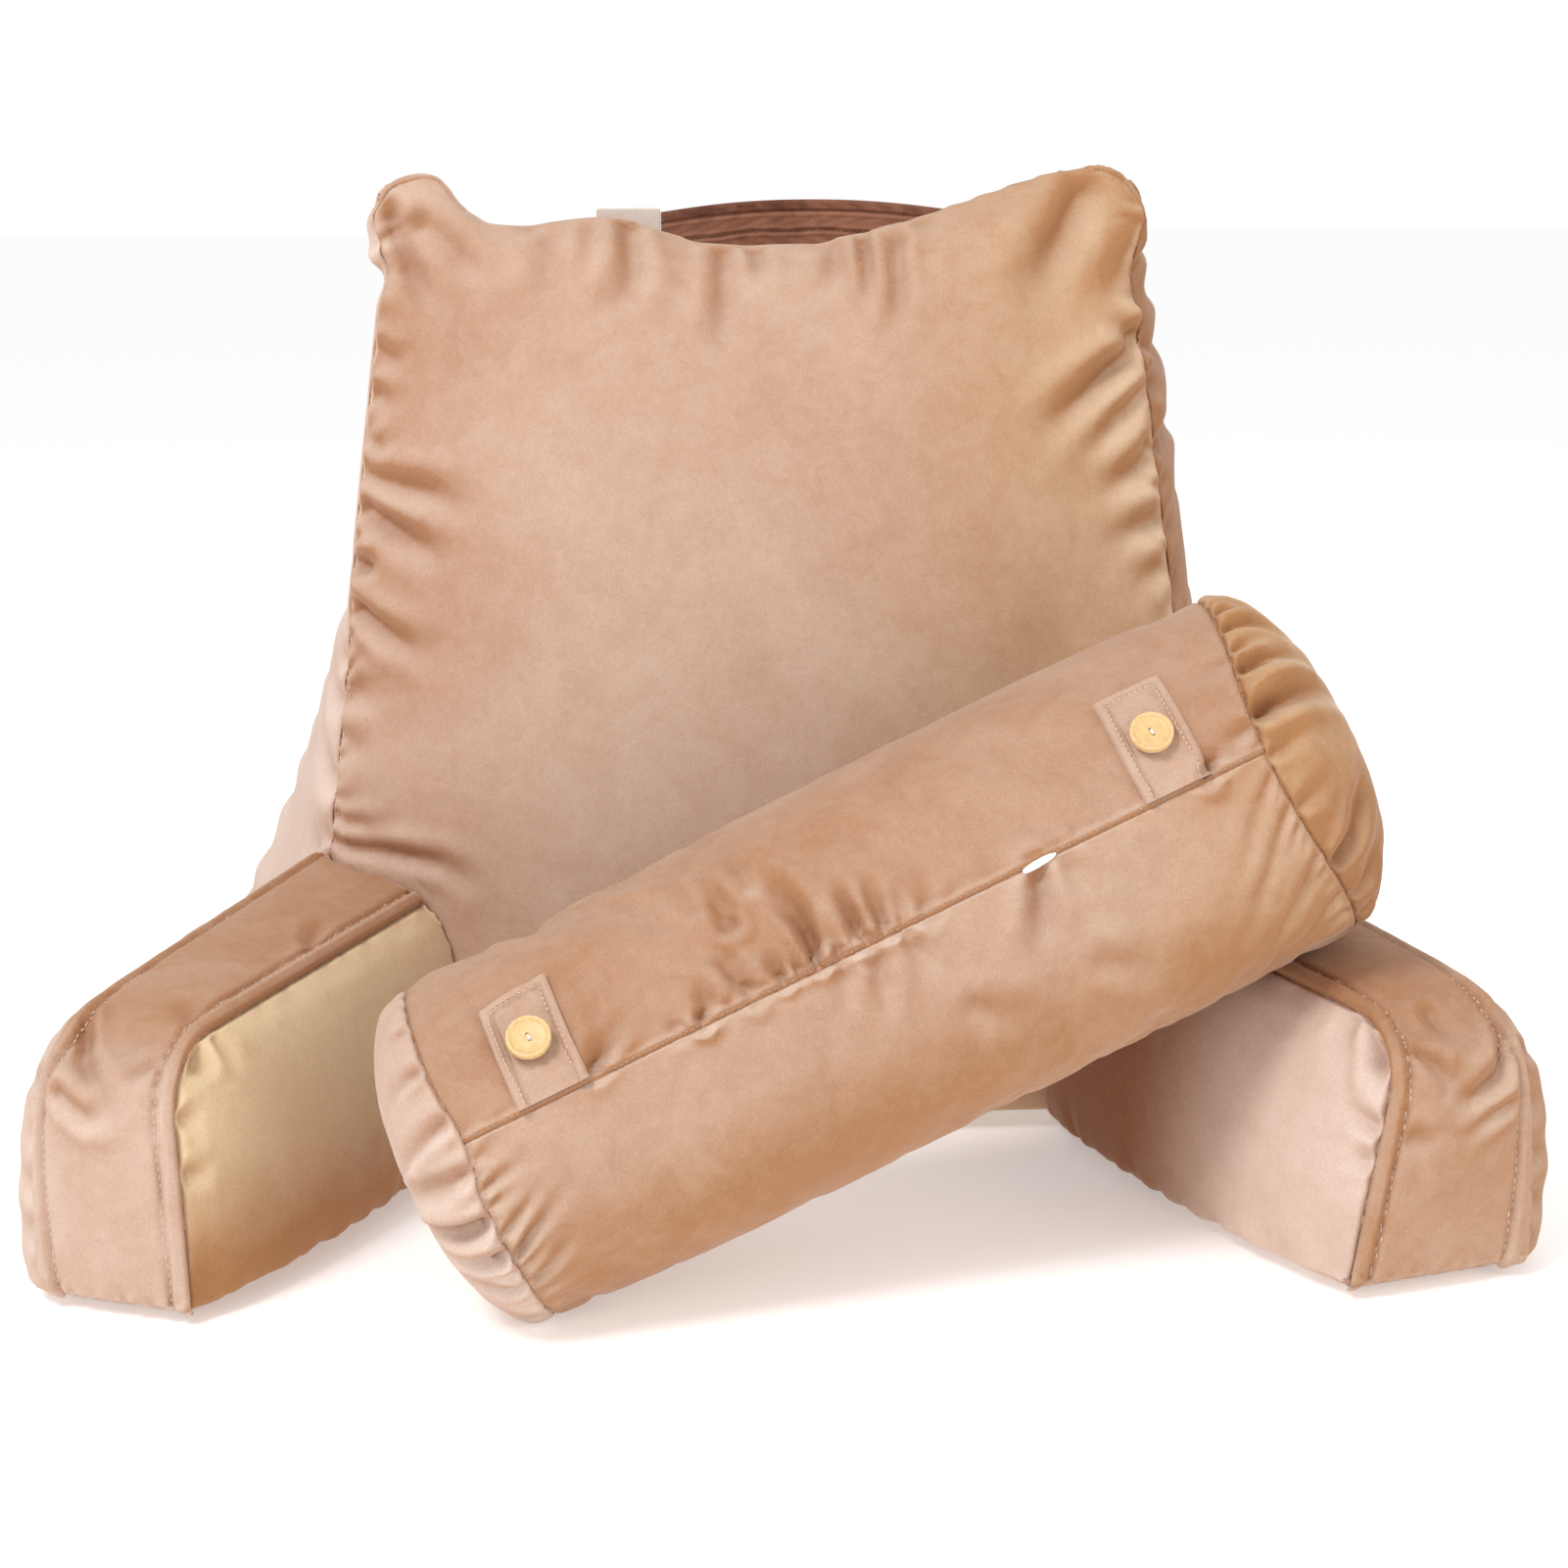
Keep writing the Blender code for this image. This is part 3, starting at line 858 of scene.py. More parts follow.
@dataclass(frozen=True)
class Finish:
    """What every finish has: a name, the record's slot and the shader's plain values."""

    name: str
    slot: Slot
    sheen: float = 0.0
    sheen_tint: Colour = (1.0, 1.0, 1.0, 1.0)
    sheen_roughness: float = 0.4
    specular: float = 0.3
    bump: float = 0.4
    bump_distance: float = 0.0004

    def start(self) -> tuple[bpy.types.Material, Tree, Node, Socket]:
        """Makes the material and its shader.

        Returns:
            The material, its tree, the shader and the Object coordinates.
        """
        made = bpy.data.materials.new(self.name)
        made.use_nodes = True
        tree = made.node_tree
        shader = tree.nodes["Principled BSDF"]
        set_inputs(shader, {
            "Sheen Weight": self.sheen, "Sheen Tint": self.sheen_tint,
            "Sheen Roughness": self.sheen_roughness, "Specular IOR Level": self.specular,
        })
        place = add_node(tree, "ShaderNodeTexCoord")
        return made, tree, shader, place.outputs["Object"]

    def emboss(self, tree: Tree, shader: Node, height: Socket) -> None:
        """Feeds a height into the shader's normal through a bump node.

        Args:
            tree: The material's tree.
            shader: Its shader.
            height: The height.
        """
        bump = add_node(tree, "ShaderNodeBump")
        set_inputs(bump, {"Strength": self.bump, "Distance": self.bump_distance, "Height": height})
        set_inputs(shader, {"Normal": bump.outputs["Normal"]})

    def dress(self, obj: Obj) -> None:
        """Puts this finish on an object, making its material once.

        Args:
            obj: The object.
        """
        made = bpy.data.materials.get(self.name) or self.material()
        obj.data.materials.clear()
        obj.data.materials.append(made)

    def material(self) -> bpy.types.Material:
        """Makes the finish's material."""
        raise NotImplementedError


@dataclass(frozen=True)
class Velvet(Finish):
    """Short-pile velvet, whose nap is lighter or darker as it was brushed. Its stored tone also carries
    painted light and shade, and its crease field is painted shade.
    """

    pile: Colour = (0.720, 0.565, 0.470, 1.0)
    deep: Colour = (0.400, 0.200, 0.104, 1.0)
    rose: Colour = (1.0, 0.96, 1.0, 1.0)
    straw: Colour = (1.0, 0.955, 0.71, 1.0)
    patchiness: float = 0.13
    fineness: float = 1.0
    reads_fields: bool = True
    tone: float = 0.2

    def material(self) -> bpy.types.Material:
        """Makes the velvet, which reads the tone, warmth and crease stored on its piece; the crease is
        painted shade, and the tone carries painted light and shade as well.

        Returns:
            The material.
        """
        made, tree, shader, place = self.start()
        nap = add_node(tree, "ShaderNodeGroup", node_tree=velvet_group())
        set_inputs(nap, {
            "Vector": place, "Pile": self.pile, "Deep": self.deep, "Rose": self.rose, "Straw": self.straw,
            "Patchiness": self.patchiness, "Fineness": self.fineness, "Tone": self.tone,
        })
        if self.reads_fields:
            for label in ("tone", "warmth", "crease"):
                reader = add_node(tree, "ShaderNodeAttribute", attribute_name=label)
                set_inputs(nap, {label.capitalize(): reader.outputs["Fac"]})
        set_inputs(shader, {"Base Color": nap.outputs["Color"], "Roughness": nap.outputs["Roughness"]})
        self.emboss(tree, shader, nap.outputs["Height"])
        return made


@dataclass(frozen=True)
class Wood(Finish):
    """Pale turned wood with a satin surface."""

    light: Colour = (0.78, 0.54, 0.26, 1.0)
    dark: Colour = (0.70, 0.46, 0.20, 1.0)
    roughness: float = 0.42

    def material(self) -> bpy.types.Material:
        """Makes the wood.

        Returns:
            The material.
        """
        made, tree, shader, place = self.start()
        grain = add_node(tree, "ShaderNodeGroup", node_tree=grain_group())
        set_inputs(grain, {"Vector": place, "Light": self.light, "Dark": self.dark})
        set_inputs(shader, {"Base Color": grain.outputs["Color"], "Roughness": self.roughness})
        self.emboss(tree, shader, grain.outputs["Height"])
        return made


@dataclass(frozen=True)
class Smooth(Finish):
    """A plain light material with faint unevenness: thread, or the zip pull."""

    colour: Colour = (0.9, 0.9, 0.88, 1.0)
    shaded: Colour = (0.8, 0.8, 0.78, 1.0)
    scale: float = 900.0
    roughness: float = 0.5

    def material(self) -> bpy.types.Material:
        """Makes the material.

        Returns:
            The material.
        """
        made, tree, shader, place = self.start()
        uneven = noise(tree, place, self.scale, 3.0, 0.6)
        colour = mixed(tree, uneven, self.colour, self.shaded)
        set_inputs(shader, {"Base Color": colour, "Roughness": self.roughness})
        self.emboss(tree, shader, uneven)
        return made


SAND = Velvet(
    "sand_velvet_cloth", Slot.VELVET, sheen=0.30, sheen_tint=(1.0, 0.93, 0.88, 1.0), sheen_roughness=0.38,
    specular=0.12, bump=0.35, bump_distance=0.0006,
)
SAND_TRIM = Velvet(
    "sand_velvet_trim", Slot.VELVET, sheen=0.30, sheen_tint=(1.0, 0.93, 0.88, 1.0), sheen_roughness=0.38,
    specular=0.12, bump=0.35, bump_distance=0.0005, reads_fields=False, tone=0.56,
)
# The cuffs' paler, greyer pile is partly their own colour and partly painted light, where they catch the
# light from the upper left.
SAND_PALE = Velvet(
    "pale_velvet_cuff", Slot.VELVET, sheen=0.30, sheen_roughness=0.38, specular=0.12, bump=0.35,
    bump_distance=0.0005, reads_fields=False, tone=0.0, pile=(0.65, 0.56, 0.49, 1.0),
)
# The strap's brown is partly its own colour and partly painted shade, for it stands in shade behind the top
# edge.
BROWN = Velvet(
    "brown_velvet_cloth", Slot.DARK_VELVET, sheen=0.25, sheen_tint=(1.0, 0.80, 0.72, 1.0),
    sheen_roughness=0.4, specular=0.12, pile=(0.32, 0.145, 0.090, 1.0), deep=(0.135, 0.050, 0.030, 1.0),
    patchiness=0.5, bump=0.45, bump_distance=0.0006,
)
BUTTON_WOOD = Wood("pale_button_wood", Slot.WOOD, specular=0.45, bump=0.10, bump_distance=0.0001)
THREAD = Smooth(
    "sand_thread", Slot.VELVET, specular=0.25, bump=0.3, bump_distance=0.0001,
    colour=(0.80, 0.62, 0.48, 1.0), shaded=(0.60, 0.42, 0.30, 1.0), roughness=0.6,
)
ROLL_THREAD = Smooth(
    "deep_sand_thread", Slot.VELVET, specular=0.2, bump=0.3, bump_distance=0.0001,
    colour=(0.60, 0.41, 0.29, 1.0), shaded=(0.42, 0.26, 0.17, 1.0), roughness=0.7,
)
# Brown thread for the strap, partly painted shade as the strap's brown is.
BROWN_THREAD = Smooth(
    "brown_thread", Slot.DARK_VELVET, specular=0.25, bump=0.3, bump_distance=0.0001,
    colour=(0.30, 0.145, 0.090, 1.0), shaded=(0.17, 0.075, 0.045, 1.0), roughness=0.6,
)
WHITE_THREAD = Smooth("white_thread", Slot.PULL, specular=0.4, bump=0.3, bump_distance=0.0001)
PULL_WHITE = Smooth(
    "white_pull_gloss", Slot.PULL, specular=0.5, bump=0.08, bump_distance=0.0001,
    colour=(0.93, 0.93, 0.92, 1.0), shaded=(0.86, 0.86, 0.85, 1.0), scale=220.0, roughness=0.3,
)


def declare(obj: Obj, finish: Finish, *nodes: str, fill: float | None = None) -> None:
    """Dresses a finished piece and says where it belongs.

    Args:
        obj: The piece.
        finish: Its finish.
        nodes: The CAD nodes that it stands for.
        fill: How tightly it is filled, for a padded piece; not used.
    """
    finish.dress(obj)
    if nodes:
        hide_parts(*nodes)
    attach(obj, BODY)
    LOG.info("%s: %d faces", obj.name, len(obj.data.polygons))


# Stitches


@dataclass(frozen=True)
class Thread:
    """A row of stitches.

    Attributes:
        length: The length of one stitch.
        gap: The gap between two.
        radius: Half the thread's thickness.
        lift: How far above the surface the thread's middle lies.
    """

    length: float = 0.0030
    gap: float = 0.0011
    radius: float = 0.00038
    lift: float = 0.0002

    def single(self) -> tuple[Array, list[tuple[int, ...]]]:
        """One stitch along +X, a short bar whose ends dip in.

        Returns:
            Its points and its faces.
        """
        bar = added(bpy.ops.mesh.primitive_cylinder_add, vertices=6, radius=self.radius, depth=self.length)
        bar.rotation_euler.y = math.pi / 2.0
        settle_transform(bar)
        slice_across(bar, (0.22 * self.length, -0.22 * self.length))
        points = np.array([vertex.co[:] for vertex in bar.data.vertices])
        end = np.abs(points[:, 0]) / (0.5 * self.length)
        points[:, 1] *= 1.0 - 0.5 * eased(0.5, 1.0, end)
        points[:, 2] -= 1.3 * self.radius * eased(0.45, 1.0, end)
        faces = [tuple(polygon.vertices) for polygon in bar.data.polygons]
        bpy.data.objects.remove(bar, do_unlink=True)
        return points, faces

    def row(self, name: str, lines: list[SeamLine], tree: BVHTree) -> Obj:
        """Sews rows of stitches along lines on a surface.

        Args:
            name: The piece's name.
            lines: The lines to follow.
            tree: The surface's faces.

        Returns:
            The stitches as one object.
        """
        one, faces = self.single()
        points, polygons = [], []
        for line in lines:
            centres = np.arange(self.gap, line.along[-1] - self.length, self.length + self.gap)
            for start in centres:
                ends = [
                    np.array([np.interp(start + step, line.along, line.points[:, k]) for k in range(3)])
                    for step in (0.0, self.length)
                ]
                middle, normal = tree.find_nearest(Vector((ends[0] + ends[1]) / 2.0))[:2]
                if middle is None:
                    continue
                forward = Vector(ends[1] - ends[0])
                forward = (forward - normal * forward.dot(normal)).normalized()
                turn = np.array([forward, normal.cross(forward), normal])
                first = sum(len(block) for block in points)
                points.append(one @ turn + np.array(middle + normal * self.lift))
                polygons += [tuple(first + index for index in face) for face in faces]
        mesh = bpy.data.meshes.new(name)
        mesh.from_pydata(np.concatenate(points).tolist(), [], polygons)
        mesh.shade_smooth()
        return placed(name, mesh)


# Filled cushions


@dataclass
class Cushion:
    """A filled cushion grown from its solid.

    Attributes:
        node: The CAD node that it stands for.
        neighbours: The CAD nodes that it touches.
        voxel: The cell size of the remesh.
        pressure: The cloth simulation's pressure.
        slack: How much the cloth is cut too large, which wrinkles it.
        cap: The most that a point may move in the simulation.
        fill: How tightly it is filled.
        frames: How many steps the simulation runs.
        reach: How far from a seam its gathers may run.
        fine_reaches: How far from a seam the cells are divided, once for each value.
        brushed: The way toward the key lamp, up, left and forward; cloth that the folds turn toward it is
            painted lighter and cloth turned away from it darker: painted light and shade on the folds.
        tone_and_fold_light_share: How strongly the painted light and shade on the folds and the stored tone
            show.
        seam_shade: How much each metre of a seam's depth darkens it.
        pleat_shade: The same for a pleat.
        held_gap: Within this distance of a neighbour, the sewing leaves the cloth as it is.
        free_gap: From this distance on, it has its full effect.
        plain_seams: The seams whose cells aren't divided.
        thread: The finish of its stitches.
    """

    node: str
    neighbours: tuple[str, ...]
    voxel: float = 0.0045
    pressure: float = 3.0
    slack: float = 0.015
    cap: float = 0.007
    fill: float = 0.85
    frames: int = 16
    obj: Obj = field(init=False)
    lines: dict[str, SeamLine] = field(init=False)
    measured: dict[str, tuple[Array, Array]] = field(init=False)
    reach: ClassVar[float] = 0.10
    fine_reaches: ClassVar[tuple[float, ...]] = (0.0075, 0.0050)
    # Toward the key lamp: the way of the painted light and shade on the folds.
    brushed: ClassVar[tuple[float, float, float]] = (-0.35, -0.25, 0.90)
    tone_and_fold_light_share: ClassVar[float] = 0.75
    seam_shade: ClassVar[float] = 330.0
    pleat_shade: ClassVar[float] = 110.0
    held_gap: ClassVar[float] = 0.0008
    free_gap: ClassVar[float] = 0.005
    plain_seams: ClassVar[tuple[str, ...]] = ()
    thread: ClassVar[Smooth] = THREAD

    def seam_lines(self) -> dict[str, SeamLine]:
        """The cushion's sewn lines by name."""
        raise NotImplementedError

    def sew(self, skin: Skin) -> None:
        """Presses the seams, gathers and folds into the cushion."""
        raise NotImplementedError

    def shades(self, skin: Skin) -> tuple[Array, Array]:
        """The tone (0 light, 1 deep) and warmth (-1 rose, 1 straw) of each point."""
        raise NotImplementedError

    def remesh(self) -> None:
        """Gives the cushion even cells and draws the nearest ones onto its seams."""
        grid = self.obj.modifiers.new("cells", "REMESH")
        grid.mode = "VOXEL"
        grid.voxel_size = self.voxel
        apply_modifiers(self.obj)
        self.draw_to_seams(0.6 * self.voxel)

    def draw_to_seams(self, reach: float) -> None:
        """Moves the points nearest to each seam onto it.

        Args:
            reach: How far from a seam a point is moved.
        """
        skin = Skin(self.obj)
        for line in self.lines.values():
            away, _, place = line.nearest(skin.coords, reach)
            close = np.isfinite(away)
            skin.coords[close] = place[close]
        skin.write()

    def swell(self, trees: list[BVHTree]) -> None:
        """Runs the cloth simulation with the seams, the base and what touches held.

        Args:
            trees: The neighbours' faces.
        """
        rest = Skin(self.obj).coords
        held = rest[:, 2] < self.voxel
        held |= free_share(rest, trees, self.voxel, 2.0 * self.voxel) < 0.5
        for line in self.lines.values():
            held |= np.isfinite(line.nearest(rest, self.voxel)[0])
        group = self.obj.vertex_groups.new(name="held")
        group.add(np.flatnonzero(held).tolist(), 1.0, "REPLACE")
        cloth = self.obj.modifiers.new("filled", "CLOTH")
        settings = cloth.settings
        settings.vertex_group_mass = group.name
        settings.quality, settings.mass, settings.bending_stiffness = 4, 0.25, 0.3
        settings.use_pressure, settings.uniform_pressure_force = True, self.pressure
        settings.effector_weights.gravity = 0.0
        settings.shrink_min = -self.slack
        cloth.collision_settings.use_collision = False
        for number in range(1, self.frames + 1):
            bpy.context.scene.frame_set(number)
        apply_modifiers(self.obj)
        bpy.context.scene.frame_set(1)
        self.obj.vertex_groups.clear()
        skin = Skin(self.obj)
        moved = skin.coords - rest
        length = np.maximum(np.linalg.norm(moved, axis=1, keepdims=True), 1e-9)
        skin.coords = rest + moved * np.minimum(length, self.cap) / length
        skin.write()

    def refine(self) -> None:
        """Divides the cells beside the seams, so that the sewing is crisp."""
        for reach in self.fine_reaches:
            coords = Skin(self.obj).coords
            near = np.zeros(len(coords), bool)
            for name, line in self.lines.items():
                if name not in self.plain_seams:
                    near |= np.isfinite(line.nearest(coords, reach)[0])
            with editing(self.obj, "DESELECT"):
                bpy.ops.mesh.select_mode(type="VERT")
            self.obj.data.vertices.foreach_set("select", near)
            bpy.ops.object.mode_set(mode="EDIT")
            bpy.ops.mesh.select_mode(type="VERT")
            bpy.ops.mesh.subdivide(number_cuts=1, ngon=False)
            bpy.ops.object.mode_set(mode="OBJECT")

    def build(self, nodes: dict[str, Obj]) -> None:
        """Args:
            nodes: The CAD nodes by name.
        """
        self.lines = self.seam_lines()
        self.obj = node_copy(self.node + "_cushion", nodes[self.node])
        trees = [tree_of(nodes[name]) for name in self.neighbours]
        self.remesh()
        self.swell(trees)
        subdivide(self.obj)
        self.refine()
        self.obj.data.shade_smooth()
        skin = Skin(self.obj)
        before, facing = skin.coords.copy(), skin.normals.copy()
        self.measured = {name: self.measure(skin, line) for name, line in self.lines.items()}
        self.sew(skin)
        free = free_share(before, trees, self.held_gap, self.free_gap)
        skin.coords = before + (skin.coords - before) * free[:, None]
        skin.read_normals()
        tone, warmth = self.shades(skin)
        # Painted light and shade on the folds: cloth that the sewing turned toward the key lamp gets a
        # lighter tone, cloth turned away a deeper one.
        painted_fold_light = (skin.normals - facing) @ self.brushed
        tone = 1.0 - self.tone_and_fold_light_share + self.tone_and_fold_light_share * (tone - np.clip(painted_fold_light, -0.5, 0.5))
        # The crease field is painted shade.
        skin.store(tone=tone, warmth=warmth, crease=np.clip(skin.crease, 0.0, 1.0))
        declare(self.obj, SAND, self.node, fill=self.fill)

    def measure(self, skin: Skin, line: SeamLine) -> tuple[Array, Array]:
        """Measures the surface against a seam, which may lie a little above or below it.

        Args:
            skin: The cushion's surface.
            line: The seam.

        Returns:
            Each point's distance to the seam within the surface, and the distance along the seam.
        """
        away, along, place = line.nearest(skin.coords, self.reach)
        lift = np.clip(((skin.coords - place) * skin.normals).sum(1), -0.003, 0.003)
        return np.sqrt(np.maximum(away * away - lift * lift, 0.0)), along

    def groove(self, skin: Skin, name: str, depth: float, width: float) -> None:
        """Rolls both panels' edges into a seam.

        Args:
            skin: The cushion's surface.
            name: The seam.
            depth: How deep the seam lies.
            width: How far from the seam each panel starts to roll in.
        """
        near = np.clip(1.0 - self.measured[name][0] / width, 0.0, 1.0)
        skin.push(-depth * (1.0 - np.sqrt(1.0 - near * near)), self.seam_shade)

    def steady(self, name: str, share: float, width: float) -> Array:
        """How far folds take hold beside a seam, which itself stays steady.

        Args:
            name: The seam.
            share: The share of a fold's depth that is lost on the seam.
            width: How far from the seam this is felt.

        Returns:
            The share of its depth that a fold keeps at each point.
        """
        return 1.0 - share * np.exp(-((np.minimum(self.measured[name][0], 1.0) / width) ** 2))

    def pleat(
        self, skin: Skin, name: str, pleats: list[Pleat], where: Array, closed: bool = False
    ) -> None:
        """Creases one side of a seam, which stays steady itself.

        Args:
            skin: The cushion's surface.
            name: The seam.
            pleats: The creases.
            where: How much each point takes part: 1 on that side and 0 elsewhere.
            closed: Whether the seam closes on itself.
        """
        away, along = self.measured[name]
        close = np.flatnonzero((where > 0.0) & np.isfinite(away))
        loop = self.lines[name].along[-1] if closed else None
        offset = np.zeros(len(away))
        for one in pleats:
            offset[close] += one.press(along[close], away[close], loop)
        skin.push(offset * self.steady(name, 0.80, 0.0030) * where, self.pleat_shade)

    def gather(self, skin: Skin, name: str, gathers: Gathers, where: Array) -> None:
        """Puckers one side of a seam at random places."""
        self.pleat(skin, name, gathers.pleats(0.0, self.lines[name].along[-1]), where)


@dataclass
class Backrest(Cushion):
    """The backrest: a wedge of a front panel, a back panel, two sides and a base, with two ears."""

    back_height: float = 0.472
    panel_height: float = 0.500
    front_half_top: float = 0.190
    front_taper: float = 0.062
    front_flare: float = 0.046
    flare_height: float = 0.150
    rear_half_top: float = 0.192
    rear_taper: float = 0.075
    rear_flare: float = 0.090
    rear_shift: float = 0.009
    base_seam: float = 0.007
    plain_seams: ClassVar[tuple[str, ...]] = ("front_base", "rear_base", "left_base", "right_base")

    def top(self, across: Value) -> Value:
        """The height of the top edge.

        Args:
            across: The share across it, from -1 to 1.

        Returns:
            The height there.
        """
        side = np.abs(across)
        right = 0.040 * eased(0.05, 0.95, side)
        left = 0.010 * eased(0.12, 0.40, side) + 0.029 * eased(0.68, 0.88, side)
        return self.back_height + np.where(np.asarray(across) > 0.0, right, left)

    def half_width(self, height: Value, rear: bool) -> Value:
        """Half the width of a panel.

        Args:
            height: The height.
            rear: Whether it is the back panel and not the front one.

        Returns:
            Half the width there.
        """
        ear = 0.011 * np.exp(-(((height - 0.494) / 0.021) ** 2))
        low = np.maximum(1.0 - height / self.panel_height, 0.0)
        if rear:
            return self.rear_half_top + self.rear_taper * low + self.rear_flare * low**3 + ear
        flare = np.maximum(1.0 - height / self.flare_height, 0.0) ** 1.2
        taper = self.front_taper * (1.0 - height / self.panel_height)
        return self.front_half_top + taper + self.front_flare * flare + ear

    def depth(self, up: Value, rear: bool) -> Value:
        """The y of a panel's seams.

        Args:
            up: The share of the height.
            rear: Whether it is the back panel.

        Returns:
            The y there.
        """
        if rear:
            return blended(0.096, -0.079, up**1.25)
        return blended(-0.093, -0.092, up) - 0.022 * np.sin(np.pi * up**0.75)

    def corner(self, across: float, rear: bool, up: float) -> Point:
        """A point of the uncrowned wedge.

        Args:
            across: The share across it, from -1 to 1.
            rear: Whether it is on the back face.
            up: The share of the height.

        Returns:
            The point.
        """
        height = float(up * self.top(across))
        x = across * float(self.half_width(height, rear))
        y = float(self.depth(up, rear))
        if rear:
            x += self.rear_shift * float(eased(0.10, 0.30, height) * (1.0 - eased(0.42, 0.48, height)))
        ear = 0.004 * float(eased(0.90, 1.0, abs(across)) * eased(0.95, 1.0, up))
        inset = 0.010 * float(rear * eased(0.80, 1.0, abs(across)) * (1.0 - eased(0.0, 0.2, up)))
        x -= math.copysign(ear + inset, across)
        return x, y - inset, max(height - ear, self.base_seam)

    def seam_lines(self) -> dict[str, SeamLine]:
        """Seams down both sides of the two panels, over the ears and the back, and round the base.

        Returns:
            The seams by name.
        """
        steps = np.linspace(0.0, 1.0, 61)
        lines = {}
        for rear, face in ((False, "front"), (True, "rear")):
            for side, hand in ((-1.0, "left"), (1.0, "right")):
                lines[f"{face}_{hand}"] = SeamLine([self.corner(side, rear, up) for up in steps])
            lines[f"{face}_base"] = SeamLine([self.corner(2 * t - 1, rear, 0.0) for t in steps])
        lines["rear_top"] = SeamLine([self.corner(2 * t - 1, True, 1.0) for t in steps])
        for side, hand, end in ((-1.0, "left", 0.76), (1.0, "right", 0.90)):
            shares = np.linspace(end, 1.0, 20)
            lines[f"{hand}_ear"] = SeamLine([self.corner(side * share, False, 1.0) for share in shares])
            ends = [self.corner(side, rear, 0.0) for rear in (False, True)]
            lines[f"{hand}_base"] = SeamLine(ends)
        return lines

    front_folds: ClassVar[tuple[Fold, ...]] = folds(
        (7.5, 6.2, 0.45, -192, 490, -180, 466, -160, 434),
        (5, 6.2, 0.4, -174, 485, -158, 470, -138, 450), (2.6, 6, 0.25, -110, 476, -107, 440),
        (1.8, 5, 0.25, -88, 476, -88, 452), (4.4, 5.5, 0.4, -68, 482, -67, 460, -72, 436),
        (3.6, 5.5, 0.4, -19, 470, -19, 412), (3, 4, 0.25, -2, 474, -3, 446),
        (2.8, 4, 0.25, 38, 474, 37, 448), (3.6, 3.2, 0.4, 53, 476, 55, 455, 55, 434),
        (4, 4.5, 0.4, 70, 476, 69, 424), (1.6, 5, 0.25, 84, 470, 82, 440),
        (4.2, 4.2, 0.25, -201, 426, -184, 412), (4.2, 4.2, 0.25, -205, 406, -190, 390),
        (2.6, 4.2, 0.25, -203, 376, -190, 370), (5.6, 5.6, 0.3, -204, 358, -171, 350, -147, 338),
        (6.6, 5.6, 0.3, -205, 342, -182, 326, -160, 311), (5.6, 3.8, 0.25, -211, 314, -198, 311),
        (6.6, 4.6, 0.3, -215, 292, -191, 275, -171, 263), (2.8, 6, 0.25, -220, 250, -198, 238),
        (2.2, 6, 0.25, -224, 222, -204, 214), (5.4, 4.6, 0.3, -232, 166, -172, 158, -139, 143),
        (3.6, 4.2, 0.25, -228, 178, -190, 172), (3, 5, 0.25, -200, 150, -160, 136),
        (6.2, 8.5, 0.35, 166, 500, 151, 465, 136, 436), (3, 7.5, 0.25, 196, 474, 182, 456, 160, 430),
        (9.2, 6, 0.3, 205, 426, 190, 417, 174, 404, 134, 368),
        (6.4, 4.2, 0.4, 203, 428, 190, 430, 176, 438), (5.6, 5.6, 0.3, 205, 404, 184, 386, 155, 352),
        (3.6, 4, 0.25, 210, 386, 196, 376), (5.4, 6.2, 0.3, 212, 371, 190, 356, 164, 338),
        (2.8, 4.2, 0.25, 214, 350, 198, 343), (4.4, 6.2, 0.25, 216, 336, 190, 326, 168, 316),
        (3.6, 6.2, 0.25, 219, 310, 184, 296), (2.6, 6.2, 0.25, 223, 288, 196, 278),
    )
    cinches: ClassVar[tuple[tuple[Point, float, float], ...]] = (
        ((-0.197, -0.095, 0.462), 0.0034, 0.011),
        ((0.199, -0.094, 0.455), 0.0040, 0.012),
        ((0.198, -0.094, 0.424), 0.0022, 0.008),
        ((-0.208, -0.112, 0.314), 0.0018, 0.008),
        ((-0.120, -0.092, 0.486), 0.0034, 0.006),
        ((-0.006, -0.092, 0.473), 0.0026, 0.006),
        ((0.030, -0.092, 0.474), 0.0026, 0.006),
        ((0.086, -0.092, 0.484), 0.0036, 0.006),
    )

    def regions(self, coords: Array) -> tuple[Array, Array, Array]:
        """Which panel each point lies on.

        Args:
            coords: The points.

        Returns:
            Whether each one is on the front, on the back, and on a side.
        """
        half = self.half_width(coords[:, 2], False)
        rim = self.top(np.clip(coords[:, 0] / half, -1.0, 1.0))
        up = np.clip(coords[:, 2] / rim, 0.0, 1.0)
        front, rear = self.depth(up, False), self.depth(up, True)
        behind, ahead = coords[:, 1] - front, rear - coords[:, 1]
        share = np.clip(behind / np.maximum(rear - front, 0.004), 0.0, 1.0)
        half = blended(half, self.half_width(coords[:, 2], True), share)
        inside = half - np.abs(coords[:, 0])
        below = rim - coords[:, 2]
        on_front = (behind < inside) & (behind < ahead) & (behind < below + 0.004)
        on_rear = ~on_front & (ahead < inside) & (ahead < below)
        on_side = ~on_front & ~on_rear & (inside < below)
        return on_front, on_rear, on_side

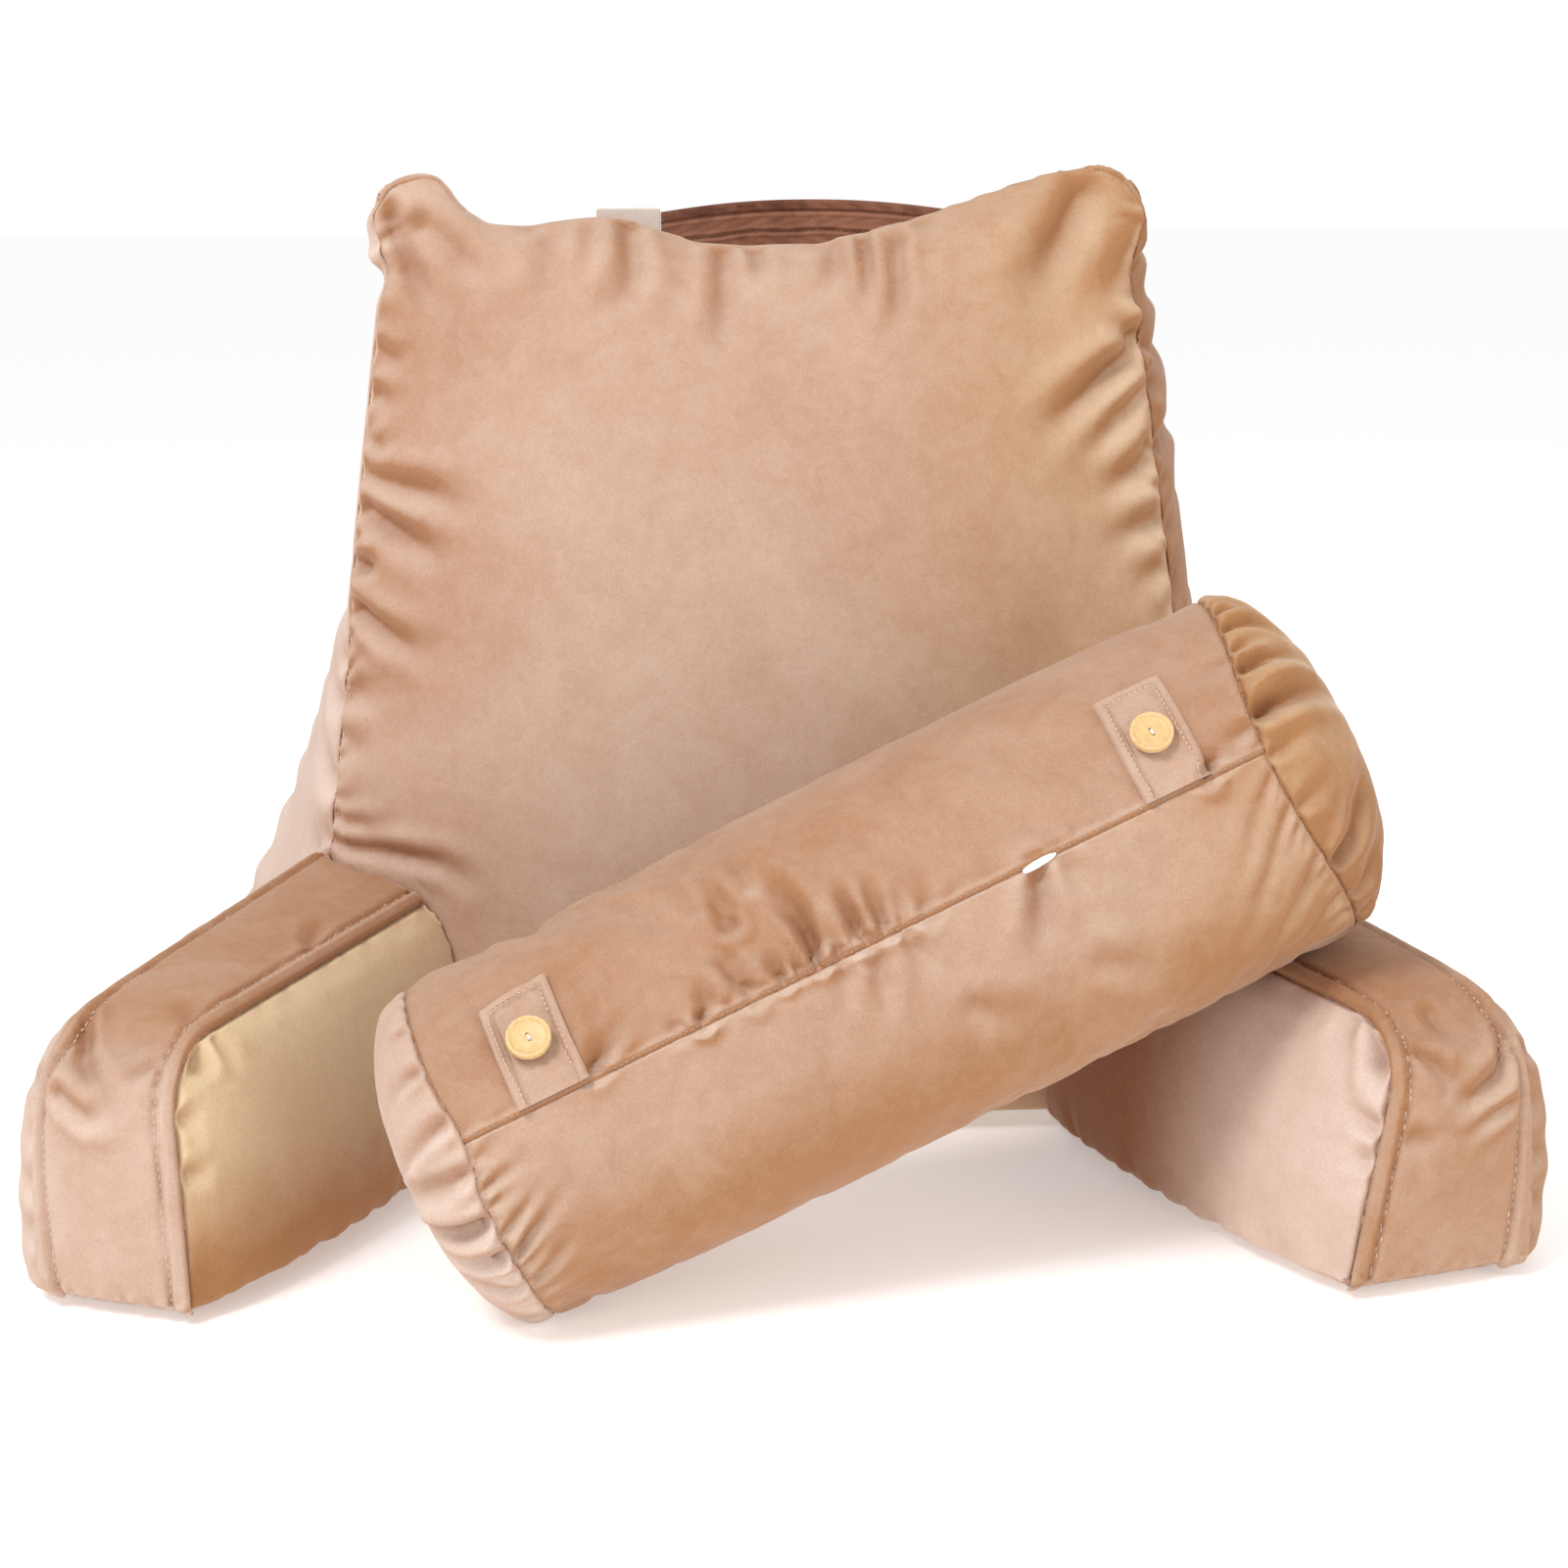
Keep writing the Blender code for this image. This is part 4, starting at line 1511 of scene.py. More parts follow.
    def sew(self, skin: Skin) -> None:
        """Front folds, gathered side panels, cinched ears, and seams drawn in.

        Args:
            skin: The cushion's surface.
        """
        front, rear, side = self.regions(skin.coords)
        offset = pressed(self.front_folds, skin.coords[:, 0], skin.coords[:, 2])
        steady = self.steady("front_left", 0.85, 0.005) * self.steady("front_right", 0.85, 0.005)
        skin.push(np.where(front, offset * steady, 0.0), 80.0)
        x, z = skin.coords[:, 0].copy(), skin.coords[:, 2].copy()
        skin.coords[:, 2] += 0.0048 * np.exp(-(((x + 0.080) / 0.034) ** 2)) * eased(0.44, 0.47, z)
        upper = eased(0.26, 0.31, z) * eased(0.475, 0.445, z) * (x < 0.0)
        ahead, behind = (np.minimum(self.measured[name][0], 1.0) for name in ("front_left", "rear_left"))
        inward = 0.0090 * eased(0.0, 0.018, ahead) * eased(0.0, 0.018, behind)
        outward = 0.0025 * eased(0.060, 0.0, ahead) * (front | side)
        skin.coords[:, 0] += (np.where(side, inward, 0.0) - outward) * upper
        side = side * (1.0 - upper)
        for place, depth, width in self.cinches:
            away = np.linalg.norm(skin.coords - np.array(place), axis=1)
            skin.push(-depth * np.exp(-((away / width) ** 2)), 30.0)
        skin.read_normals()
        for hand, seed in (("left", 3), ("right", 7)):
            self.gather(skin, f"front_{hand}", Gathers(0.016, 0.0020, 0.016, 0.5, seed), front)
            self.gather(skin, f"front_{hand}", Gathers(0.030, 0.0056, 0.055, 0.3, seed + 1), side)
            self.gather(skin, f"rear_{hand}", Gathers(0.030, 0.0046, 0.050, 0.2, seed + 2), side)
            self.gather(skin, f"rear_{hand}", Gathers(0.026, 0.0030, 0.045, 0.3, seed + 3), rear)
        self.gather(skin, "rear_top", Gathers(0.024, 0.0030, 0.045, 0.0, 22), rear)
        skin.read_normals()
        for name in ("front_left", "front_right", "rear_left", "rear_right", "rear_top"):
            self.groove(skin, name, 0.0020, 0.0026)
        for name in ("left_ear", "right_ear"):
            self.groove(skin, name, 0.0014, 0.0020)
        for name in ("front_base", "rear_base", "left_base", "right_base"):
            self.groove(skin, name, 0.0018, 0.0040)

    def shades(self, skin: Skin) -> tuple[Array, Array]:
        """The left of the front is rosier and the right is deeper and yellower. The front is painted
        lighter low down, as painted light, and the right side panel deep, as painted shade.

        Args:
            skin: The cushion's surface.

        Returns:
            The tone and the warmth of each point.
        """
        x, z = skin.coords[:, 0], skin.coords[:, 2]
        front, rear, side = self.regions(skin.coords)
        left = eased(-0.110, -0.185, x + 0.10 * (z - 0.33)) * (1.0 - eased(0.455, 0.485, z))
        right = eased(0.02, 0.165, x - 0.10 * (z - 0.35))
        high = eased(0.36, 0.47, z)
        tone = 0.46 + 0.20 * left + 0.14 * right + 0.04 * high * (1.0 - right) + 0.14 * right * high
        # Painted light: the front is made lighter low down, which makes up for the shade that the roll
        # casts there.
        tone -= 0.22 * (1.0 - eased(0.14, 0.36, z))
        warmth = -0.35 * left + 0.60 * right
        outer = eased(0.12, 0.17, np.abs(x))
        # Painted shade: the right side panel, which faces away from the key lamp, is painted deep.
        others = np.where(rear, 0.45, tone + (np.where(x > 0.0, 1.20, 0.04) - tone) * outer)
        beside = warmth + (np.where(x > 0.0, 0.4, -0.3) - warmth) * outer
        other_warmth = np.where(rear, 0.0, beside)
        # More painted shade on the right side panel, through the crease shade.
        skin.crease += 0.45 * (side & (x > 0.0))
        return np.where(front, tone, others), np.where(front, warmth, other_warmth)

    def sewing(self, tree: BVHTree) -> list[Obj]:
        """The short row of stitches beside the front panel's left seam.

        Args:
            tree: The finished cushion's faces.

        Returns:
            The rows of stitches.
        """
        heights = np.linspace(0.350, 0.560, 40)
        line = SeamLine([self.corner(-0.982, False, up) for up in heights])
        thread = Thread(length=0.0022, gap=0.0020, radius=0.00042)
        return [thread.row("backrest_topstitching", [line], tree)]


@dataclass
class Arm(Cushion):
    """A filled arm: one strip over its top and down its front, felled to an inner and outer panel."""

    side: float = 1.0
    outer_fullness: float = 0.0050
    splay: float = math.radians(22.4)
    width: float = 0.068
    front_inner: Point = (0.279, -0.381, 0.125)
    front_base_inner_x: float = 0.254
    top_length: float = 0.310
    inner_rise: float = 0.016
    outer_rise: float = 0.036
    nose: float = 0.034
    band: float = 0.0088
    base_seam: float = 0.007
    base_bow: float = 0.014
    band_height: float = 0.0024
    sewn_depth: float = 0.0018
    sewn_width: float = 0.0011
    rolled_width: float = 0.0030
    root_band: float = 0.0048
    seam_inset: float = 0.10
    plain_seams: ClassVar[tuple[str, ...]] = ("inner_base", "outer_base")

    def __post_init__(self) -> None:
        """Works out the arm's own axes and the front corners of its base."""
        turn = self.splay
        self.backward = np.array((-math.sin(turn), math.cos(turn), 0.0))
        self.outward = np.array((math.cos(turn), math.sin(turn), 0.0))
        self.corner = np.array(self.front_inner)
        self.low_inner = np.array((self.front_base_inner_x, -0.389, 0.0))
        self.foot = np.array((0.350, -0.354, 0.0))
        self.low_outer = blended(self.foot, self.low_inner, self.seam_inset)

    def on_strip(self, across: float, distance: float) -> Point:
        """A point of the strip.

        Args:
            across: The share across it, from the inner seam to the outer one.
            distance: The distance along it, from the base up the front and then back.

        Returns:
            The point, on this arm's own side.
        """
        height = self.front_inner[2]
        straight = height - self.nose
        arc = self.nose * math.pi / 2.0
        if distance < straight:
            back, up = 0.0, distance
        elif distance < straight + arc:
            turn = (distance - straight) / self.nose
            back, up = self.nose * (1.0 - math.cos(turn)), straight + self.nose * math.sin(turn)
        else:
            back, up = self.nose + distance - straight - arc, height
        base = blended(self.low_inner, self.low_outer, across)
        top = self.corner + self.outward * self.width * across
        point = blended(base, top, up / height) + self.backward * back
        point[2] = up + blended(self.inner_rise, self.outer_rise, across) * back / self.top_length
        return float(point[0] * self.side), float(point[1]), float(max(point[2], self.base_seam))

    def strip_length(self) -> float:
        """The strip's length from the base to the far end of the arm's top."""
        return self.front_inner[2] + self.nose * (math.pi / 2.0 - 2.0) + self.top_length

    def base_edge(self, outer: bool, share: float) -> Point:
        """A point of the seam round the base.

        Args:
            outer: Whether it is on the outer side.
            share: The share of the way from the front to the root.

        Returns:
            The point, on this arm's own side.
        """
        front, root = self.low_inner, np.array((0.145, -0.052, 0.0))
        if outer:
            front, root = self.foot, np.array((0.300, 0.004, 0.0))
        bow = self.base_bow * (1.0 - (2.0 * share - 1.0) ** 2) * (1.0 if outer else -1.0)
        point = blended(front, root, share) + self.outward * bow
        return float(point[0] * self.side), float(point[1]), self.base_seam

    def seam_lines(self) -> dict[str, SeamLine]:
        """Both long seams of the strip, the seam at its root and the seams round the base.

        Returns:
            The seams by name.
        """
        steps = np.linspace(0.004, self.strip_length(), 90)
        shares = np.linspace(0.0, 1.0, 40)
        root = ((0.233, -0.114, 0.161), (0.208, -0.132, 0.156), (0.185, -0.142, 0.143),
                (0.167, -0.144, 0.129), (0.154, -0.146, 0.113))
        return {
            "inner": SeamLine([self.on_strip(0.0, step) for step in steps]),
            "outer": SeamLine([self.on_strip(1.0, step) for step in steps]),
            "root": SeamLine([(x * self.side, y, z) for x, y, z in root]),
            "front_base": SeamLine([self.on_strip(share, 0.006) for share in np.linspace(0, 1, 9)]),
            "inner_base": SeamLine([self.base_edge(False, share) for share in shares]),
            "outer_base": SeamLine([self.base_edge(True, share) for share in shares]),
        }

    def chart(self, coords: Array) -> tuple[Array, Array, Array, Array]:
        """Flat places on the arm.

        Args:
            coords: The points.

        Returns:
            For each point, the metres outward of the inner seam, the strip's width there, the
            distance along the strip, and the metres back from the front.
        """
        height = self.front_inner[2]
        offset = coords * np.array((self.side, 1.0, 1.0)) - self.corner
        lean = 1.0 - np.clip(coords[:, 2] / height, 0.0, 1.0)
        low = self.low_inner - self.corner
        back = offset @ self.backward - lean * (low @ self.backward)
        across = offset @ self.outward - lean * (low @ self.outward)
        width = blended(self.width, (self.low_outer - self.low_inner) @ self.outward, lean)
        rise = coords[:, 2] - (height - self.nose)
        turn = np.arctan2(np.maximum(rise, 0.0), np.maximum(self.nose - back, 1e-6))
        along = height - self.nose + np.where(rise > 0.0, self.nose * turn, rise)
        flat = (back > self.nose) & (rise > 0.0)
        along = np.where(flat, height + self.nose * (math.pi / 2.0 - 2.0) + back, along)
        return across, width, along, back

    def regions(self, coords: Array) -> tuple[Array, Array, Array]:
        """Which panel each point lies on.

        Args:
            coords: The points.

        Returns:
            Whether each one is on the strip, on the inner panel, and on the outer panel.
        """
        across, width, _, back = self.chart(coords)
        rise = blended(self.inner_rise, self.outer_rise, np.clip(across / width, 0.0, 1.0))
        below = self.front_inner[2] + rise * back / self.top_length - coords[:, 2]
        rounded = self.nose - np.hypot(self.nose - below, self.nose - back)
        inside = np.where((below < self.nose) & (back < self.nose), rounded, np.minimum(below, back))
        strip = (inside < across) & (inside < width - across)
        inner = ~strip & (across < 0.5 * width)
        return strip, inner, ~strip & ~inner

    strip_folds: ClassVar[dict[str, tuple[Fold, ...]]] = {
        "arm_left": folds(
            (5.2, 3.6, 0.4, 60, 138, 50, 118, 34, 103, 16, 96), (3.6, 3.2, 0.4, 56, 102, 40, 94, 20, 99),
            (3, 3.4, 0.25, 62, 116, 46, 108), (2.6, 3.2, 0.25, 14, 118, 24, 104),
            (1.8, 6, 0.25, 10, 150, 30, 170), (1.4, 6, 0.25, 60, 190, 40, 205),
            (2, 4, 0.25, 8, 260, 20, 300),
        ),
        "arm_right": folds(
            (5.4, 3.4, 0.4, 62, 118, 55, 99, 40, 92, 18, 96), (3.6, 3.2, 0.4, 12, 112, 26, 100, 40, 100),
            (2.4, 4.2, 0.25, 30, 132, 36, 110), (3, 3.6, 0.25, 60, 86, 36, 79),
            (2, 5, 0.25, 12, 76, 26, 70),
        ),
    }
    panel_folds: ClassVar[dict[str, tuple[Fold, ...]]] = {
        "arm_left": folds(
            (6, 4.5, 0.5, 22, 124, 18, 108), (2.6, 5.5, 0.25, 34, 122, 38, 104),
            (3, 3.6, 0.25, 0, 96, 14, 92), (2.2, 4, 0.25, 0, 70, 16, 66),
        ),
        "arm_right": folds(
            (6.8, 4.5, 0.5, 16, 122, 8, 112, -1, 102), (3, 3.4, 0.3, 0, 80, 14, 87, 24, 88),
            (1.6, 3.4, 0.25, 0, 64, 14, 68), (2.2, 6, 0.25, 34, 124, 30, 104),
        ),
    }

    def sew(self, skin: Skin) -> None:
        """Raised felled bands, buckles over the nose, puckered side panels and drawn-in seams.

        Args:
            skin: The cushion's surface.
        """
        across, _, along, back = self.chart(skin.coords)
        strip, inner, outer = self.regions(skin.coords)
        aways = self.measured["inner"][0], self.measured["outer"][0]
        nearest = np.minimum(*aways)
        offset = pressed(self.strip_folds[self.node], across, along)
        skin.push(np.where(strip, offset * eased(0.007, 0.013, nearest), 0.0), 90.0)
        offset = pressed(self.panel_folds[self.node], back, skin.coords[:, 2])
        skin.push(np.where(inner, 1.2 * offset * eased(0.000, 0.004, nearest), 0.0), 90.0)
        self.gather(skin, "inner", Gathers(0.026, 0.0010, 0.014, 0.2, 31), inner)
        self.gather(skin, "outer", Gathers(0.024, 0.0034, 0.030, 0.2, 32), outer)
        self.gather(skin, "inner_base", Gathers(0.022, 0.0022, 0.018, 0.2, 35), inner)
        self.gather(skin, "outer_base", Gathers(0.022, 0.0024, 0.020, 0.2, 36), outer)
        self.gather(skin, "front_base", Gathers(0.009, 0.0022, 0.009, 0.0, 34), strip)
        high = skin.coords[:, 2] / self.front_inner[2]
        full = self.outer_fullness * np.clip(4.0 * high * (1.0 - high), 0.0, 1.0) * eased(0.13, 0.03, back)
        skin.push(np.where(outer, full * eased(0.0, 0.020, self.measured["outer"][0]), 0.0))
        skin.read_normals()
        for away in aways:
            plump = self.band_height * (1.0 - np.clip(np.abs(away / self.band * 2.0 - 1.0), 0.0, 1.0) ** 4)
            skin.push(np.where(strip & (away < self.band), plump, 0.0))
            sunk = np.exp(-((np.abs(away - self.band) / self.sewn_width) ** 1.5))
            skin.push(np.where(strip, -self.sewn_depth * sunk, 0.0), self.seam_shade)
            rolled = np.clip(1.0 - away / self.rolled_width, 0.0, 1.0)
            rolled = 1.0 - np.sqrt(1.0 - rolled * rolled)
            skin.push(np.where(strip, -0.0010, -0.0032) * rolled, 160.0)
        away = self.measured["root"][0]
        skin.push(-0.0016 * np.clip(1.0 - away / 0.0024, 0.0, 1.0), 200.0)
        sunk = np.exp(-((np.abs(away - self.root_band) / 0.0010) ** 1.5))
        skin.push(-0.0010 * sunk, 260.0)
        for name in ("front_base", "inner_base", "outer_base"):
            self.groove(skin, name, 0.0020, 0.0030)

    def shades(self, skin: Skin) -> tuple[Array, Array]:
        """The strip is deepest on top; the left arm's inner panel is straw and the right one's rose. The
        inner panels have painted shade near the floor, and the right one the roll's painted shadow.

        Args:
            skin: The cushion's surface.

        Returns:
            The tone and the warmth of each point.
        """
        _, _, along, back = self.chart(skin.coords)
        strip, inner, _ = self.regions(skin.coords)
        z = skin.coords[:, 2]
        on_top = eased(0.100, 0.150, along)
        # Painted shade near the floor, on the inner panels.
        low = eased(0.095, 0.0, z)
        if self.side < 0.0:
            tone = np.where(strip, 0.25 + 0.56 * on_top, 0.15)
            warmth = np.where(strip, 0.2 * on_top - 0.3 * (1.0 - on_top), -0.3)
            tone = np.where(inner, -0.30 + 1.60 * low, tone)
            warmth = np.where(inner, 0.95 - 0.20 * low, warmth)
            return tone, warmth
        tone = np.where(strip, 0.72 + 0.20 * on_top, 0.98)
        warmth = np.where(strip, 0.15, 0.1)
        # Painted shadow of the neck roll on the right arm's inner panel, in its tone and in the crease
        # shade.
        roll_shadow = eased(0.08, 0.20, back)
        skin.crease += 0.8 * inner * roll_shadow
        tone = np.where(inner, -0.25 + 1.20 * roll_shadow + 0.15 * low, tone)
        warmth = np.where(inner, -0.5, warmth)
        return tone, warmth

    def sewing(self, tree: BVHTree) -> list[Obj]:
        """The stitches beside both felled seams.

        Args:
            tree: The finished cushion's faces.

        Returns:
            The rows of stitches.
        """
        steps = np.linspace(0.010, self.strip_length() - 0.060, 100)
        shares = (self.band / self.width, 1.0 - self.band / self.width)
        lines = [SeamLine([self.on_strip(share, step) for step in steps]) for share in shares]
        return [Thread().row(self.node + "_topstitching", lines, tree)]


@dataclass
class NeckRoll(Cushion):
    """The round bolster, with a lengthwise zip seam and gathered ends."""

    left: Point = (-0.143, -0.367, 0.0722)
    right: Point = (0.242, -0.271, 0.2310)
    left_radius: float = 0.0812
    right_radius: float = 0.0868
    crown: float = 0.0028
    skew: float = 0.17
    sight: Point = (-0.0438, -0.981, 0.189)
    zip_angle: float = math.radians(8.0)
    thread: ClassVar[Smooth] = ROLL_THREAD

    def __post_init__(self) -> None:
        """Works out the roll's own axes."""
        run = Vector(self.right) - Vector(self.left)
        self.length = run.length
        self.forward = run.normalized()
        sight = Vector(self.sight)
        self.toward = (sight - self.forward * sight.dot(self.forward)).normalized()
        self.upward = -self.forward.cross(self.toward)

    def radius(self, distance: float) -> float:
        """The roll's radius.

        Args:
            distance: The distance from its left end seam.

        Returns:
            The radius there.
        """
        share = min(max(distance / self.length, 0.0), 1.0)
        full = (1.0 - abs(2.0 * share - 1.0) ** 2.0) ** 0.8
        return blended(self.left_radius, self.right_radius, share) + self.crown * full

    def spoke(self, angle: float) -> Vector:
        """The way out from the roll's axis at an angle above the sight line."""
        return self.toward * math.cos(angle) + self.upward * math.sin(angle)

    def place(self, distance: float, angle: float, radius: float | None = None) -> Vector:
        """A point on the roll or above it.

        Args:
            distance: The distance along the roll.
            angle: The angle above the sight line, in radians.
            radius: The distance from the axis, or None for the roll's own radius.

        Returns:
            The point.
        """
        radius = self.radius(distance) if radius is None else radius
        askew = -self.skew * radius * math.cos(angle)
        return Vector(self.left) + self.forward * (distance + askew) + self.spoke(angle) * radius

    def chart(self, coords: Array) -> tuple[Array, Array]:
        """Flat places on the roll.

        Args:
            coords: The points.

        Returns:
            Each point's distance along the roll and its angle.
        """
        offset = coords - np.array(self.left)
        along = offset @ np.array(self.forward)
        high, near = offset @ np.array(self.upward), offset @ np.array(self.toward)
        return along + self.skew * near, np.arctan2(high, near)

    def end_seam(self, angle: Value, right: bool) -> Value:
        """Where an end seam lies along the roll, pulled inward at the front by its gathers.

        Args:
            angle: The angle round the roll, in radians, as a number or an array.
            right: Whether it is the right end.

        Returns:
            The distance along the roll.
        """
        degrees = np.degrees((np.asarray(angle) + math.pi) % math.tau - math.pi)
        if right:
            return self.length - 0.003 - 0.0165 * np.exp(-(((degrees - 3.0) / 48.0) ** 2))
        return 0.0020 + 0.0040 * np.exp(-(((degrees - 9.0) / 14.0) ** 2))

    def seam_lines(self) -> dict[str, SeamLine]:
        """The two end seams and the zip seam.

        Returns:
            The seams by name.
        """
        turns = np.linspace(0.0, math.tau, 181)
        steps = np.linspace(*[float(self.end_seam(self.zip_angle, right)) for right in (False, True)], 60)
        return {
            "left_end": self.ring(turns, False, 0.0),
            "right_end": self.ring(turns, True, 0.0),
            "zip": SeamLine([self.place(step, self.zip_angle) for step in steps]),
        }

    def ring(self, turns: Array, right: bool, inset: float) -> SeamLine:
        """A line round the roll beside an end seam.

        Args:
            turns: The angles of its points.
            right: Whether it is at the right end.
            inset: How far toward the roll's middle it lies.

        Returns:
            The line.
        """
        shift = -inset if right else inset
        return SeamLine([self.place(float(self.end_seam(turn, right)) + shift, turn) for turn in turns])

    zip_folds: ClassVar[tuple[tuple[float, ...], ...]] = (
        (0.11, 9, 0.111, 18, 0.0016, 0.003), (0.1215, 8, 0.124, 14, 0.0072, 0.0024),
        (0.126, 10, 0.131, 26, 0.003, 0.003), (0.147, 9, 0.139, 34, 0.0044, 0.0034),
        (0.151, 34, 0.149, 70, 0.0032, 0.004), (0.1625, 9, 0.163, 23, 0.0052, 0.0024),
        (0.17, 9, 0.171, 22, 0.0034, 0.0022), (0.1795, 9, 0.18, 30, 0.0072, 0.0026),
        (0.184, 16, 0.172, 58, 0.0048, 0.0038), (0.19, 9, 0.191, 24, 0.0038, 0.0024),
        (0.197, 9, 0.198, 20, 0.0026, 0.0022), (0.203, 9, 0.202, 36, 0.006, 0.0028),
        (0.213, 9, 0.216, 32, 0.0048, 0.0028), (0.222, 9, 0.225, 22, 0.0026, 0.003),
        (0.234, 9, 0.238, 24, 0.0022, 0.004), (0.138, 44, 0.132, 74, 0.0022, 0.0045),
        (0.166, 44, 0.16, 76, 0.002, 0.0045), (0.207, 7, 0.197, -18, 0.0034, 0.0036),
        (0.19, 7, 0.184, -10, 0.0022, 0.0032), (0.222, 7, 0.226, -12, 0.0026, 0.0032),
        (0.288, 6, 0.273, -24, 0.0056, 0.0046), (0.3, 7, 0.306, -10, 0.0022, 0.0046),
        (0.07, 10, 0.094, 26, 0.005, 0.0034), (0.071, 13, 0.086, 36, 0.0026, 0.0034),
        (0.377, 9, 0.388, 17, 0.0066, 0.0034), (0.236, -24, 0.262, -40, 0.0016, 0.006),
        (0.3, -30, 0.33, -44, 0.0016, 0.006),
    )

    end_creases: ClassVar[dict[str, tuple[tuple[float, ...], ...]]] = {
        "left_cap": (
            (72, 2.4, 3.0, 22, 0.1), (54, 3.0, 2.8, 24, 0.1), (36, 3.4, 2.8, 26, 0.0),
            (17, 4.0, 3.4, 36, -0.1), (-1, 4.2, 3.4, 40, -0.2), (-17, 7.4, 3.4, 42, -0.2),
            (-30, 6.4, 3.0, 34, -0.1), (-38, 2.0, 2.2, 16, -0.1), (-46, 3.2, 2.6, 26, 0.0),
            (-60, 2.0, 2.6, 18, 0.0), (-74, 2.0, 2.6, 16, 0.0),
        ),
        "left_body": (
            (2, 1.4, 2.0, 12, 0.3), (-8, 2.2, 2.0, 18, 0.4), (-14, 1.4, 1.8, 12, 0.4),
            (-24, 2.4, 2.2, 20, 0.5), (-33, 4.6, 2.2, 22, 0.6), (-38, 2.0, 1.6, 10, 0.5),
            (-46, 3.6, 2.0, 18, 0.5), (-54, 2.0, 1.8, 14, 0.4), (-66, 2.0, 2.0, 14, 0.3),
        ),
        "right_cap": (
            (76, 3.4, 2.6, 26, 0.1), (66, 4.6, 2.8, 30, 0.2), (55, 5.4, 3.0, 34, 0.3),
            (44, 3.4, 2.4, 20, 0.3), (36, 6.6, 3.4, 36, 0.4), (20, 10.0, 4.4, 36, 0.35),
            (6, 2.2, 2.6, 18, 0.2), (-12, 2.0, 3.0, 18, 0.2), (-35, 6.6, 3.6, 34, 0.3),
            (-52, 3.6, 3.0, 24, 0.2),
        ),
        "right_body": (
            (2, 1.4, 2.6, 30, -0.80), (-9, 1.8, 2.8, 44, -0.75), (-15, 1.2, 2.0, 20, -0.60),
            (-27, 2.0, 3.2, 50, -0.70), (-33, 1.2, 2.0, 16, -0.40), (-46, 1.8, 3.0, 34, -0.50),
            (17, 2.4, 2.6, 16, -0.3), (40, 1.6, 2.4, 12, -0.2),
        ),
    }

    def end_pleats(self, key: str) -> list[Pleat]:
        """The creases on one side of an end seam: those that show, and random ones behind.

        Args:
            key: Which end and which side.

        Returns:
            The creases by their distance along the seam.
        """
        seam = self.lines["right_end" if key.startswith("right") else "left_end"]
        turn = seam.along[-1] / 360.0
        made = []
        for degrees, depth, half_width, reach, lean in self.end_creases[key]:
            size = [value * MILLIMETRE for value in (depth, half_width, reach)]
            made.append(Pleat((degrees % 360.0) * turn, *size, lean))
        behind = Gathers(0.022, 0.0050 if key.endswith("cap") else 0.0028, 0.030, 0.1, len(key) + 40)
        return made + behind.pleats(100.0 * turn, 270.0 * turn)

    def sew(self, skin: Skin) -> None:
        """Gathered ends, pleats along the zip seam, and seams drawn in.

        Args:
            skin: The cushion's surface.
        """
        along, angle = self.chart(skin.coords)
        left, right = along < self.end_seam(angle, False), along > self.end_seam(angle, True)
        body = ~left & ~right
        turn = self.left_radius * math.pi / 180.0
        creases = [
            Fold(((start, low * turn), (end, high * turn)), depth, width, 0.2)
            for start, low, end, high, depth, width in self.zip_folds
        ]
        offset = pressed(creases, along, angle * self.left_radius)
        above = angle > self.zip_angle
        skin.push(np.where(body, offset * self.steady("zip", 0.85, 0.0036), 0.0), 85.0)
        skin.read_normals()
        self.pleat(skin, "left_end", self.end_pleats("left_cap"), left, True)
        self.pleat(skin, "left_end", self.end_pleats("left_body"), body & (along < 0.2), True)
        self.pleat(skin, "right_end", self.end_pleats("right_cap"), right, True)
        self.pleat(skin, "right_end", self.end_pleats("right_body"), body & (along > 0.2), True)
        self.gather(skin, "zip", Gathers(0.013, 0.0011, 0.008, 0.3, 61), body & above)
        skin.read_normals()
        for name in ("left_end", "right_end"):
            self.groove(skin, name, 0.0022, 0.0026)
        self.groove(skin, "zip", 0.0014, 0.0014)
        lip = self.measured["zip"][0]
        raised = 0.0010 * np.exp(-(((lip - 0.0024) / 0.0016) ** 2))
        skin.push(np.where(above & body, raised, 0.0))

    def shades(self, skin: Skin) -> tuple[Array, Array]:
        """Above the zip seam the nap is deeper; the left end is pale and the right end is straw. The
        underside, and more so the lower part of the right end, have painted shade.

        Args:
            skin: The cushion's surface.

        Returns:
            The tone and the warmth of each point.
        """
        along, angle = self.chart(skin.coords)
        left, right = along < self.end_seam(angle, False), along > self.end_seam(angle, True)
        around = np.degrees(angle - self.zip_angle) % 360.0
        above = 1.0 - eased(120.0, 280.0, around)
        further = eased(0.28, 0.40, along)
        # Painted shade: the roll is deeper toward its underside.
        under = -np.sin(angle)
        tone = 0.55 + 0.07 * further + (0.24 - 0.16 * further) * above + 0.42 * eased(0.20, 0.88, under)
        warmth = 0.05 + 0.30 * further * (1.0 - above) + 0.30 * eased(0.17, 0.87, under)
        shaded_underside = eased(-0.17, 0.72, under)
        # Painted shade on the lower part of the right end, in its tone and in the crease shade.
        tone = np.where(left, 0.24, np.where(right, 0.66 + 0.60 * shaded_underside, tone))
        skin.crease += 0.3 * shaded_underside * right
        return tone, np.where(left, -0.3, np.where(right, 0.75 - 0.20 * shaded_underside, warmth))

